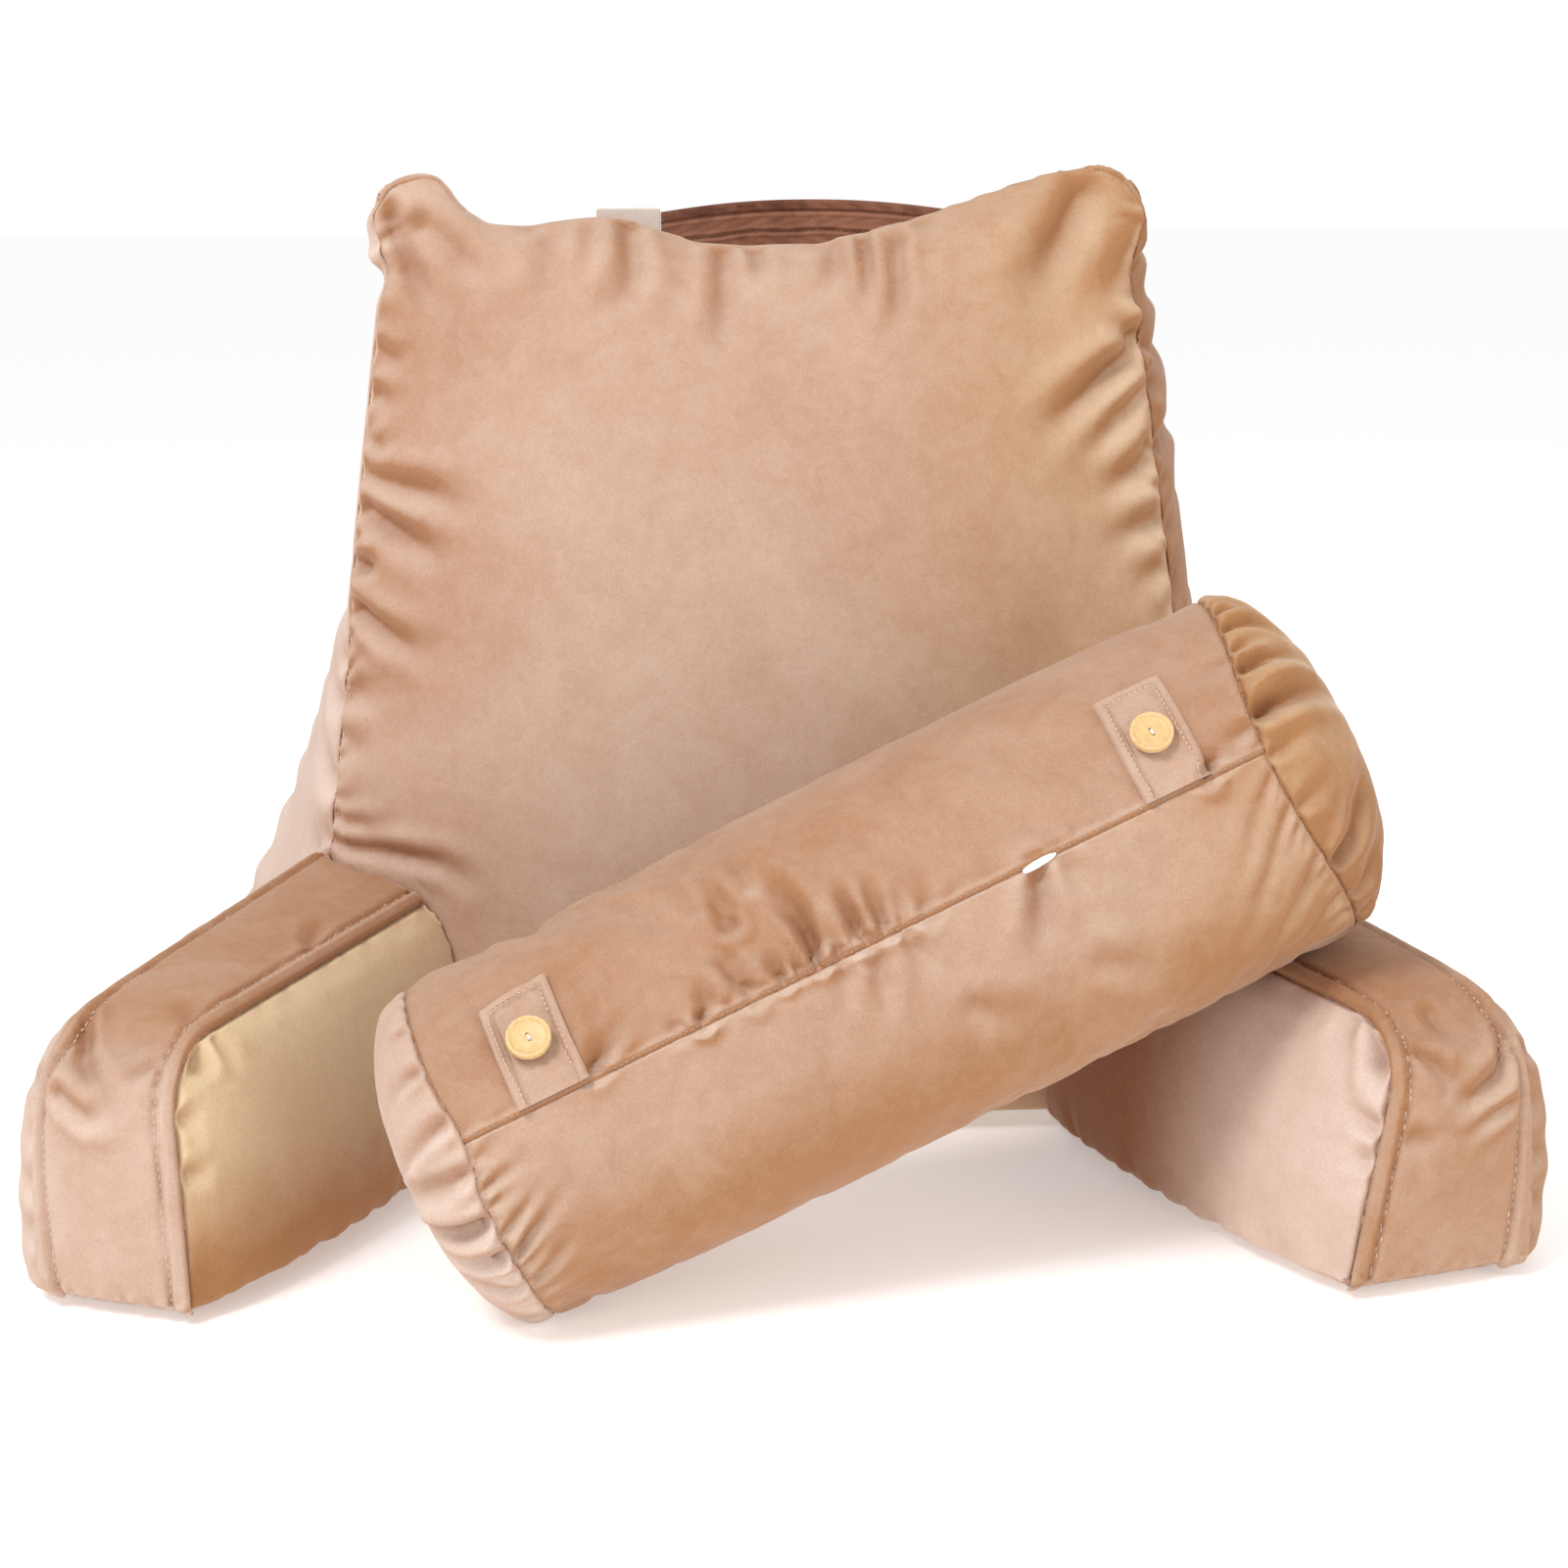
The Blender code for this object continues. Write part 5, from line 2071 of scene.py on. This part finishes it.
    def sewing(self, tree: BVHTree) -> list[Obj]:
        """Small stitches beside the zip seam and the end seams.

        Args:
            tree: The finished cushion's faces.

        Returns:
            The rows of stitches.
        """
        steps = np.linspace(0.010, self.length - 0.022, 90)
        above = self.zip_angle + 0.0016 / self.left_radius
        turns = np.linspace(-math.pi, math.pi, 160)
        lines = [
            SeamLine([self.place(step, above) for step in steps]),
            self.ring(turns, False, 0.0020),
            self.ring(turns, True, 0.0020),
        ]
        thread = Thread(length=0.0019, gap=0.0010, radius=0.00025)
        return [thread.row("neck_roll_stitching", lines, tree)]


# Pieces on the roll


@dataclass
class ButtonTab:
    """A hemmed velvet tab sewn into the zip seam, with a wooden button on it."""

    hand: str
    distance: float
    roll: NeckRoll
    width: float = 0.034
    start: float = math.radians(9.5)
    end: float = math.radians(46.0)
    button_angle: float = math.radians(27.3)
    thickness: float = 0.0020
    hem: float = 0.0056
    columns: int = 60
    rows: int = 90

    def height(self, across: float, up: float, length: float) -> float:
        """The top's height over the roll: thick hems on three sides and a dimple at the button.

        Args:
            across: The metres across the tab.
            up: The metres up it.
            length: Its whole length.

        Returns:
            The height.
        """
        edge = min(across, self.width - across, length - up)
        hem = 1.0 - float(eased(self.hem - 0.0005, self.hem + 0.0004, edge))
        stitch = math.exp(-(((edge - self.hem + 0.0012) / 0.0007) ** 2))
        round_off = (1.0 - min(edge / 0.0016, 1.0)) ** 2
        button = (self.button_angle - self.start) / (self.end - self.start) * length
        away = math.hypot(across - 0.5 * self.width, up - button)
        dimple = math.exp(-((away / 0.010) ** 2))
        ripple = 0.00035 * math.sin(across * 900.0 + up * 240.0) * math.sin(up * 310.0)
        thick = self.thickness + 0.0017 * hem - 0.0012 * stitch - 0.0018 * round_off
        return thick - 0.0002 * dimple + ripple * (1.0 - hem)

    def surface(self, tree: BVHTree, across: float, up: float) -> tuple[Vector, Vector]:
        """A place on the roll under the tab.

        Args:
            tree: The finished roll's faces.
            across: The share across the tab.
            up: The share up the tab.

        Returns:
            The roll's axis beside that place, and the way out from it, as long as the radius.
        """
        axis, forward = Vector(self.roll.left), self.roll.forward
        angle = blended(self.start, self.end, up)
        place = self.roll.place(self.distance + (across - 0.5) * self.width, angle)
        centre = axis + forward * (place - axis).dot(forward)
        spoke = (place - centre).normalized()
        hit = tree.ray_cast(centre + spoke * 0.15, -spoke)[0]
        return centre, spoke * ((hit or place) - centre).length

    def build(self, tree: BVHTree) -> None:
        """Args:
            tree: The finished roll's faces.
        """
        tab = double_grid(f"velvet_tab_{self.hand}", self.columns, self.rows)
        face_outward(tab)
        length = (self.end - self.start) * self.roll.radius(self.distance)
        for vertex in tab.data.vertices:
            across, up = vertex.co.x + 0.5, vertex.co.y + 0.5
            lift = self.height(across * self.width, up * length, length) if vertex.co.z > -0.5 else 0.0
            centre, spoke = self.surface(tree, across, up)
            vertex.co = centre + spoke + spoke.normalized() * (0.0002 + lift)
        tab.data.shade_smooth()
        tab.data.set_sharp_from_angle(angle=math.radians(50))
        declare(tab, SAND_TRIM, f"button_tab_{self.hand}")
        self.stitch(tab, length)

    def stitch(self, tab: Obj, length: float) -> None:
        """Sews a row of stitches beside the three hems.

        Args:
            tab: The finished tab.
            length: Its length.
        """
        inset = self.hem - 0.0012
        side, high = inset / self.width, (length - inset) / length
        corners = ((side, 0.0), (side, high), (1.0 - side, high), (1.0 - side, 0.0))
        lines = []
        for first, second in zip(corners, corners[1:]):
            points = []
            for t in np.linspace(0.02, 0.98, 24):
                across, up = blended(first[0], second[0], t), blended(first[1], second[1], t)
                angle = blended(self.start, self.end, up)
                away = self.distance + (across - 0.5) * self.width
                points.append(self.roll.place(away, angle, self.roll.radius(self.distance) + 0.004))
            lines.append(SeamLine(points))
        thread = Thread(length=0.0021, gap=0.0007, radius=0.00032)
        row = thread.row(f"tab_topstitching_{self.hand}", lines, tree_of(tab))
        declare(row, THREAD)


@dataclass
class Button:
    """A turned wooden button with a raised rim, two holes and a few turns of white thread."""

    hand: str
    roll: NeckRoll
    radius: float = 0.0100
    height: float = 0.0036
    rim: float = 0.0024
    dish: float = 0.0011
    hole_radius: float = 0.0008
    spacing: float = 0.0028
    sides: int = 72

    def seat(self, node: Obj, angle: float) -> Matrix:
        """The button's place: its middle at its back face, its face turned out from the roll.

        Args:
            node: The button's CAD node.
            angle: Its angle on the roll.

        Returns:
            The matrix that puts a button modelled at the origin in its place.
        """
        roll = self.roll
        spoke = roll.spoke(angle)
        corners = [vertex.co for vertex in node.data.vertices]
        low = min(corner.dot(spoke) for corner in corners)
        lows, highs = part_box(node.name)
        centre = (lows + highs) / 2.0
        centre += spoke * (low - centre.dot(spoke))
        turn = Matrix((roll.forward, spoke.cross(roll.forward), spoke)).transposed().to_4x4()
        return Matrix.Translation(centre) @ turn

    def turned(self) -> Obj:
        """Turns the disc with its rim and its shallow dish, standing on the origin.

        Returns:
            The disc.
        """
        disc = added(
            bpy.ops.mesh.primitive_cylinder_add, vertices=self.sides, radius=self.radius,
            depth=self.height, location=(0, 0, self.height / 2),
        )
        disc.name = disc.data.name = f"wooden_button_{self.hand}"
        settle_transform(disc)
        bpy.ops.object.mode_set(mode="EDIT")
        bpy.ops.mesh.select_all(action="DESELECT")
        bpy.ops.object.mode_set(mode="OBJECT")
        for face in disc.data.polygons:
            face.select = face.normal.z > 0.9
        bpy.ops.object.mode_set(mode="EDIT")
        bpy.ops.mesh.inset(thickness=self.rim * 0.60)
        bpy.ops.mesh.inset(thickness=self.rim * 0.40)
        bpy.ops.transform.translate(value=(0, 0, -self.dish))
        bpy.ops.mesh.inset(thickness=self.radius * 0.30)
        bpy.ops.transform.translate(value=(0, 0, -self.dish * 0.12))
        bpy.ops.object.mode_set(mode="OBJECT")
        bevel(disc, 0.0005, 3)
        return disc

    def drill(self, disc: Obj) -> None:
        """Cuts the two holes, one above the other.

        Args:
            disc: The turned disc.
        """
        for hand in (-0.5, 0.5):
            bit = added(
                bpy.ops.mesh.primitive_cylinder_add, vertices=24, radius=self.hole_radius,
                depth=self.height * 3.0, location=(0.0, hand * self.spacing, 0.0),
            )
            cut = disc.modifiers.new("hole", "BOOLEAN")
            cut.operation, cut.solver, cut.object = "DIFFERENCE", "EXACT", bit
            apply_modifiers(disc)
            bpy.data.objects.remove(bit, do_unlink=True)

    def build(self, node: Obj, angle: float) -> None:
        """Makes the button and its thread and declares both.

        Args:
            node: The button's CAD node.
            angle: Its angle on the roll.
        """
        place = self.seat(node, angle)
        disc = self.turned()
        self.drill(disc)
        disc.matrix_world = place
        settle_transform(disc)
        make_active(disc)
        bpy.ops.object.shade_smooth_by_angle(angle=math.radians(32))
        declare(disc, BUTTON_WOOD, f"button_{self.hand}")
        self.sew_on(place)

    def sew_on(self, place: Matrix) -> None:
        """Passes three turns of thread from hole to hole.

        Args:
            place: Where the button lies.
        """
        turns = []
        top = self.height - self.dish * 1.12
        for shift in (-0.00034, 0.0, 0.00034):
            points = []
            for t in np.linspace(-1.0, 1.0, 13):
                rise = 0.0005 + abs(shift) * 0.2 - 0.0022 * max(abs(t) * 1.18 - 0.86, 0.0) ** 0.7
                points.append((shift * (1.0 - 0.4 * abs(t)), t * 0.5 * self.spacing, top + rise))
            curve = bpy.data.curves.new("turn", "CURVE")
            curve.dimensions = "3D"
            curve.bevel_depth, curve.bevel_resolution, curve.use_fill_caps = 0.00026, 2, True
            spline = curve.splines.new("POLY")
            spline.points.add(len(points) - 1)
            spline.points.foreach_set("co", np.c_[np.array(points), np.ones(len(points))].ravel())
            make_active(placed("turn", curve))
            bpy.ops.object.convert(target="MESH")
            bpy.ops.object.shade_smooth()
            turns.append(bpy.context.active_object)
        thread = joined(f"button_thread_{self.hand}", turns)
        thread.matrix_world = place
        settle_transform(thread)
        declare(thread, WHITE_THREAD)


@dataclass
class ZipPull:
    """The slim white pull that lies in the zip seam."""

    roll: NeckRoll
    distance: float = 0.290
    length: float = 0.0175
    width: float = 0.0038
    thickness: float = 0.0016
    lift: float = 0.0010

    def build(self, tree: BVHTree) -> None:
        """Models the pull as a slim tapered bar and lays it in the seam.

        Args:
            tree: The finished roll's faces.
        """
        pull = added(bpy.ops.mesh.primitive_cube_add, size=1.0)
        pull.name = pull.data.name = "white_zip_pull"
        slice_across(pull, np.linspace(-0.4, 0.4, 9).tolist())
        roll, angle = self.roll, self.roll.zip_angle
        spoke = roll.spoke(angle)
        side = spoke.cross(roll.forward)
        middle = roll.place(self.distance, angle)
        surface = tree.ray_cast(middle + spoke * 0.03, -spoke)[0] or middle
        lean = math.radians(-4.0)
        for vertex in pull.data.vertices:
            x, y, z = vertex.co
            taper = 1.0 - 0.5 * abs(2.0 * x) ** 3 - 0.15 * (x + 0.5)
            run, off = x * self.length, y * self.width * taper
            off += math.sin(lean) * run
            rise = (z + 0.5) * self.thickness * (1.0 - 0.3 * abs(2.0 * x) ** 3)
            vertex.co = surface + roll.forward * run - side * off + spoke * (rise + self.lift)
        bevel(pull, 0.0005, 3)
        subdivide(pull)
        face_outward(pull)
        pull.data.shade_smooth()
        declare(pull, PULL_WHITE, "zip_pull")


# Carry handle


@dataclass
class Handle:
    """The flat brown strap behind the top edge and the two sand cuffs that hold it.

    Attributes:
        width: The strap's width.
        end_height: The height of its middle line at its ends.
        arch: How far it arches up between them.
        rim: The width of the smooth band along each edge.
        ribs: The places of the other sewn lines, as shares of the width.
        columns: The grid's cells along it.
        rows: The grid's cells up it.
    """

    width: float = 0.044
    end_height: float = 0.470
    arch: float = 0.006
    rim: float = 0.0058
    ribs: tuple[float, ...] = (0.34, 0.62)
    columns: int = 150
    rows: int = 72

    def relief(self, up: float, along: float) -> float:
        """The strap's height over its own face.

        Args:
            up: The metres up it.
            along: The metres along it.

        Returns:
            The height.
        """
        edge = min(up, self.width - up)
        rounded = -0.0012 * (1.0 - min(edge / 0.0020, 1.0)) ** 2
        band = 0.0006 * (1.0 - float(eased(self.rim - 0.0006, self.rim, edge)))
        sewn = -0.0011 * math.exp(-(((edge - self.rim - 0.0004) / 0.0006) ** 2))
        ridge = 0.0006 * math.exp(-(((edge - self.rim - 0.0024) / 0.0009) ** 2))
        for rib in self.ribs:
            off = up - rib * self.width - 0.0004 * math.sin(along * 160.0)
            sewn += -0.0010 * math.exp(-((off / 0.0007) ** 2))
            ridge += 0.0006 * math.exp(-(((abs(off) - 0.0020) / 0.0009) ** 2))
        crushed = 0.0003 * math.sin(along * 420.0 + 3.0 * math.sin(up * 300.0)) * math.sin(up * 500.0)
        return rounded + band + sewn + ridge + crushed

    def centre_height(self, share: float) -> float:
        """The height of the strap's middle line at a share of the way along it."""
        return self.end_height + self.arch * max(1.0 - abs(2.0 * share - 1.0) ** 2.2, 0.0) ** 1.1

    def strap(self, node: Obj) -> Obj:
        """Lays a fine grid on both faces of the strap's solid.

        Args:
            node: The strap's CAD node.

        Returns:
            The strap.
        """
        strap = double_grid("carry_strap", self.columns, self.rows)
        tree = tree_of(node)
        low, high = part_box("handle_strap")
        tones = []
        for vertex in strap.data.vertices:
            along, up = vertex.co.x + 0.5, vertex.co.y + 0.5
            face = -1.0 if vertex.co.z > -0.5 else 1.0
            x = blended(low.x, high.x, along)
            middle = self.centre_height(along)
            steady = middle + (min(max(up, 0.04), 0.96) - 0.5) * self.width
            probe = min(max(x, low.x + 0.0004), high.x - 0.0004)
            hit = tree.ray_cast(Vector((probe, face * 0.3, steady)), Vector((0.0, -face, 0.0)))[0]
            lift = self.relief(up * self.width, along * (high.x - low.x))
            vertex.co = Vector((x, hit.y + face * (lift - 0.0001), middle + (up - 0.5) * self.width))
            edge = min(up, 1.0 - up) * self.width
            tones.append(0.30 + 0.45 * (edge < self.rim) - 0.12 * (self.rim < edge < self.rim + 0.004))
        face_outward(strap)
        strap.data.shade_smooth()
        plain = np.zeros(len(tones))
        Skin(strap).store(tone=np.array(tones), warmth=plain, crease=plain)
        return strap

    def cuff(self, name: str, node: Obj) -> Obj:
        """A cuff with rounded edges.

        Args:
            name: The piece's name.
            node: The cuff's CAD node.

        Returns:
            The cuff.
        """
        piece = node_copy(name, node)
        limit = math.radians(60)
        with editing(piece):
            bpy.ops.mesh.tris_convert_to_quads(face_threshold=limit, shape_threshold=limit)
        bevel(piece, 0.0011, 2, 50.0)
        subdivide(piece, 2)
        piece.data.shade_smooth()
        return piece

    def stitch(self, strap: Obj) -> Obj:
        """Sews rows of stitches in the sewn lines of both faces.

        Args:
            strap: The finished strap.

        Returns:
            The stitches.
        """
        tree = tree_of(strap)
        low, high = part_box("handle_strap")
        sewn = (self.rim + 0.0004) / self.width
        lines = []
        for up in (sewn, *self.ribs, 1.0 - sewn):
            for face in (-1.0, 1.0):
                points = []
                for share in np.linspace(0.02, 0.98, 60):
                    z = self.centre_height(share) + (up - 0.5) * self.width
                    start = Vector((blended(low.x, high.x, share), face * 0.3, z))
                    hit = tree.ray_cast(start, Vector((0.0, -face, 0.0)))[0]
                    points.append(hit or start)
                lines.append(SeamLine(points))
        return Thread(length=0.0026, gap=0.0009, radius=0.0004).row("strap_topstitching", lines, tree)

    def build(self, nodes: dict[str, Obj]) -> None:
        """Makes the strap with its rows of stitching, and both cuffs.

        Args:
            nodes: The CAD nodes by name.
        """
        strap = self.strap(nodes["handle_strap"])
        declare(strap, BROWN, "handle_strap")
        declare(self.stitch(strap), BROWN_THREAD)
        for hand in ("left", "right"):
            cuff = self.cuff(f"velvet_cuff_{hand}", nodes[f"handle_cuff_{hand}"])
            declare(cuff, SAND_PALE, f"handle_cuff_{hand}")


# Studio


@dataclass(frozen=True)
class PhotoCamera:
    """The camera at the photograph's viewing angle."""

    place: Point = (-0.0636, -1.747, 0.508)
    azimuth: float = math.radians(-2.555)
    elevation: float = math.radians(10.896)
    roll: float = math.radians(-0.334)
    lens_mm: float = 71.96
    sensor_mm: float = 36.0

    def build(self) -> None:
        """Makes the camera and makes it the scene's own."""
        flat = math.cos(self.elevation)
        back = Vector(
            (math.sin(self.azimuth) * flat, -math.cos(self.azimuth) * flat, math.sin(self.elevation))
        )
        right = (-back).cross(Vector((0.0, 0.0, 1.0))).normalized()
        upright = right.cross(-back)
        turned = right * math.cos(self.roll) + upright * math.sin(self.roll)
        raised = upright * math.cos(self.roll) - right * math.sin(self.roll)
        data = bpy.data.cameras.new("photo_camera")
        data.lens, data.sensor_width = self.lens_mm, self.sensor_mm
        data.clip_start, data.clip_end = 0.05, 100.0
        camera = placed("photo_camera", data)
        turn = Matrix((turned, raised, back)).transposed().to_4x4()
        camera.matrix_world = Matrix.Translation(self.place) @ turn
        bpy.context.scene.camera = camera


@dataclass(frozen=True)
class Lamp:
    """A soft rectangular lamp that points at the pillow."""

    name: str
    place: Point
    size: float
    power: float
    colour: tuple[float, float, float] = (1.0, 1.0, 1.0)
    aim: Point = (0.0, -0.15, 0.2)

    def build(self) -> None:
        """Makes the lamp."""
        data = bpy.data.lights.new(self.name, "AREA")
        data.shape, data.size, data.energy, data.color = "SQUARE", self.size, self.power, self.colour
        lamp = placed(self.name, data)
        lamp.location = self.place
        lamp.rotation_euler = (Vector(self.aim) - Vector(self.place)).to_track_quat("-Z", "Y").to_euler()


@dataclass(frozen=True)
class Studio:
    """A pale floor, a pale world and soft lamps."""

    floor_size: float = 60.0
    floor_place: Point = (0.0, 0.0, -0.0004)
    floor_colour: Colour = (0.93, 0.93, 0.93, 1.0)
    world_colour: Colour = (1.0, 1.0, 1.0, 1.0)
    world_strength: float = 0.68
    floor_glow: float = 0.36
    lamps: tuple[Lamp, ...] = (
        Lamp("key_lamp", (-1.3, -1.7, 2.3), 0.8, 43.0),
        Lamp("fill_lamp", (2.0, -1.6, 1.2), 1.6, 15.0, (1.0, 0.98, 0.95)),
        Lamp("back_lamp", (0.6, 2.2, 1.9), 1.6, 8.0),
    )

    def build(self) -> None:
        """Makes the floor, the world and the lamps."""
        floor = added(bpy.ops.mesh.primitive_plane_add, size=self.floor_size, location=self.floor_place)
        floor.name = "studio_floor"
        settle_transform(floor)
        paint = bpy.data.materials.new("pale_floor")
        paint.use_nodes = True
        shader = paint.node_tree.nodes["Principled BSDF"]
        set_inputs(shader, {
            "Base Color": self.floor_colour, "Roughness": 0.9, "Specular IOR Level": 0.1,
            "Emission Color": self.floor_colour, "Emission Strength": self.floor_glow,
        })
        floor.data.materials.append(paint)
        world = bpy.data.worlds.new("pale_world")
        world.use_nodes = True
        sky = world.node_tree.nodes["Background"]
        seen = add_node(world.node_tree, "ShaderNodeLightPath").outputs["Is Camera Ray"]
        strength = ramped(world.node_tree, seen, 0.0, 1.0, self.world_strength, 1.0)
        set_inputs(sky, {"Color": self.world_colour, "Strength": strength})
        bpy.context.scene.world = world
        for lamp in self.lamps:
            lamp.build()
        bpy.context.scene.view_settings.view_transform = "Standard"


def main() -> None:
    """Builds the studio and every piece in order."""
    logging.basicConfig(level=logging.INFO, format="%(message)s")
    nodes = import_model()["nodes"]
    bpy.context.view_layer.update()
    PhotoCamera().build()
    Studio().build()

    cushions = (
        Backrest(
            "backrest", ("arm_left", "arm_right", "handle_cuff_left", "handle_cuff_right"), voxel=0.0052
        ),
        Arm("arm_left", ("backrest",), voxel=0.0040, side=-1.0, outer_fullness=0.0015,
            front_base_inner_x=0.272),
        Arm("arm_right", ("backrest", "neck_roll"), voxel=0.0040, side=1.0),
        NeckRoll("neck_roll", ("arm_right",), voxel=0.0042),
    )
    for cushion in cushions:
        cushion.build(nodes)
        for piece in cushion.sewing(tree_of(cushion.obj)):
            declare(piece, cushion.thread)

    roll = cushions[-1]
    skin = tree_of(roll.obj)
    for hand, distance in (("left", 0.050), ("right", roll.length - 0.064)):
        tab = ButtonTab(hand, distance, roll)
        tab.build(skin)
        Button(hand, roll).build(nodes[f"button_{hand}"], tab.button_angle)
    ZipPull(roll).build(skin)
    Handle().build(nodes)


if __name__ == "__main__":
    main()
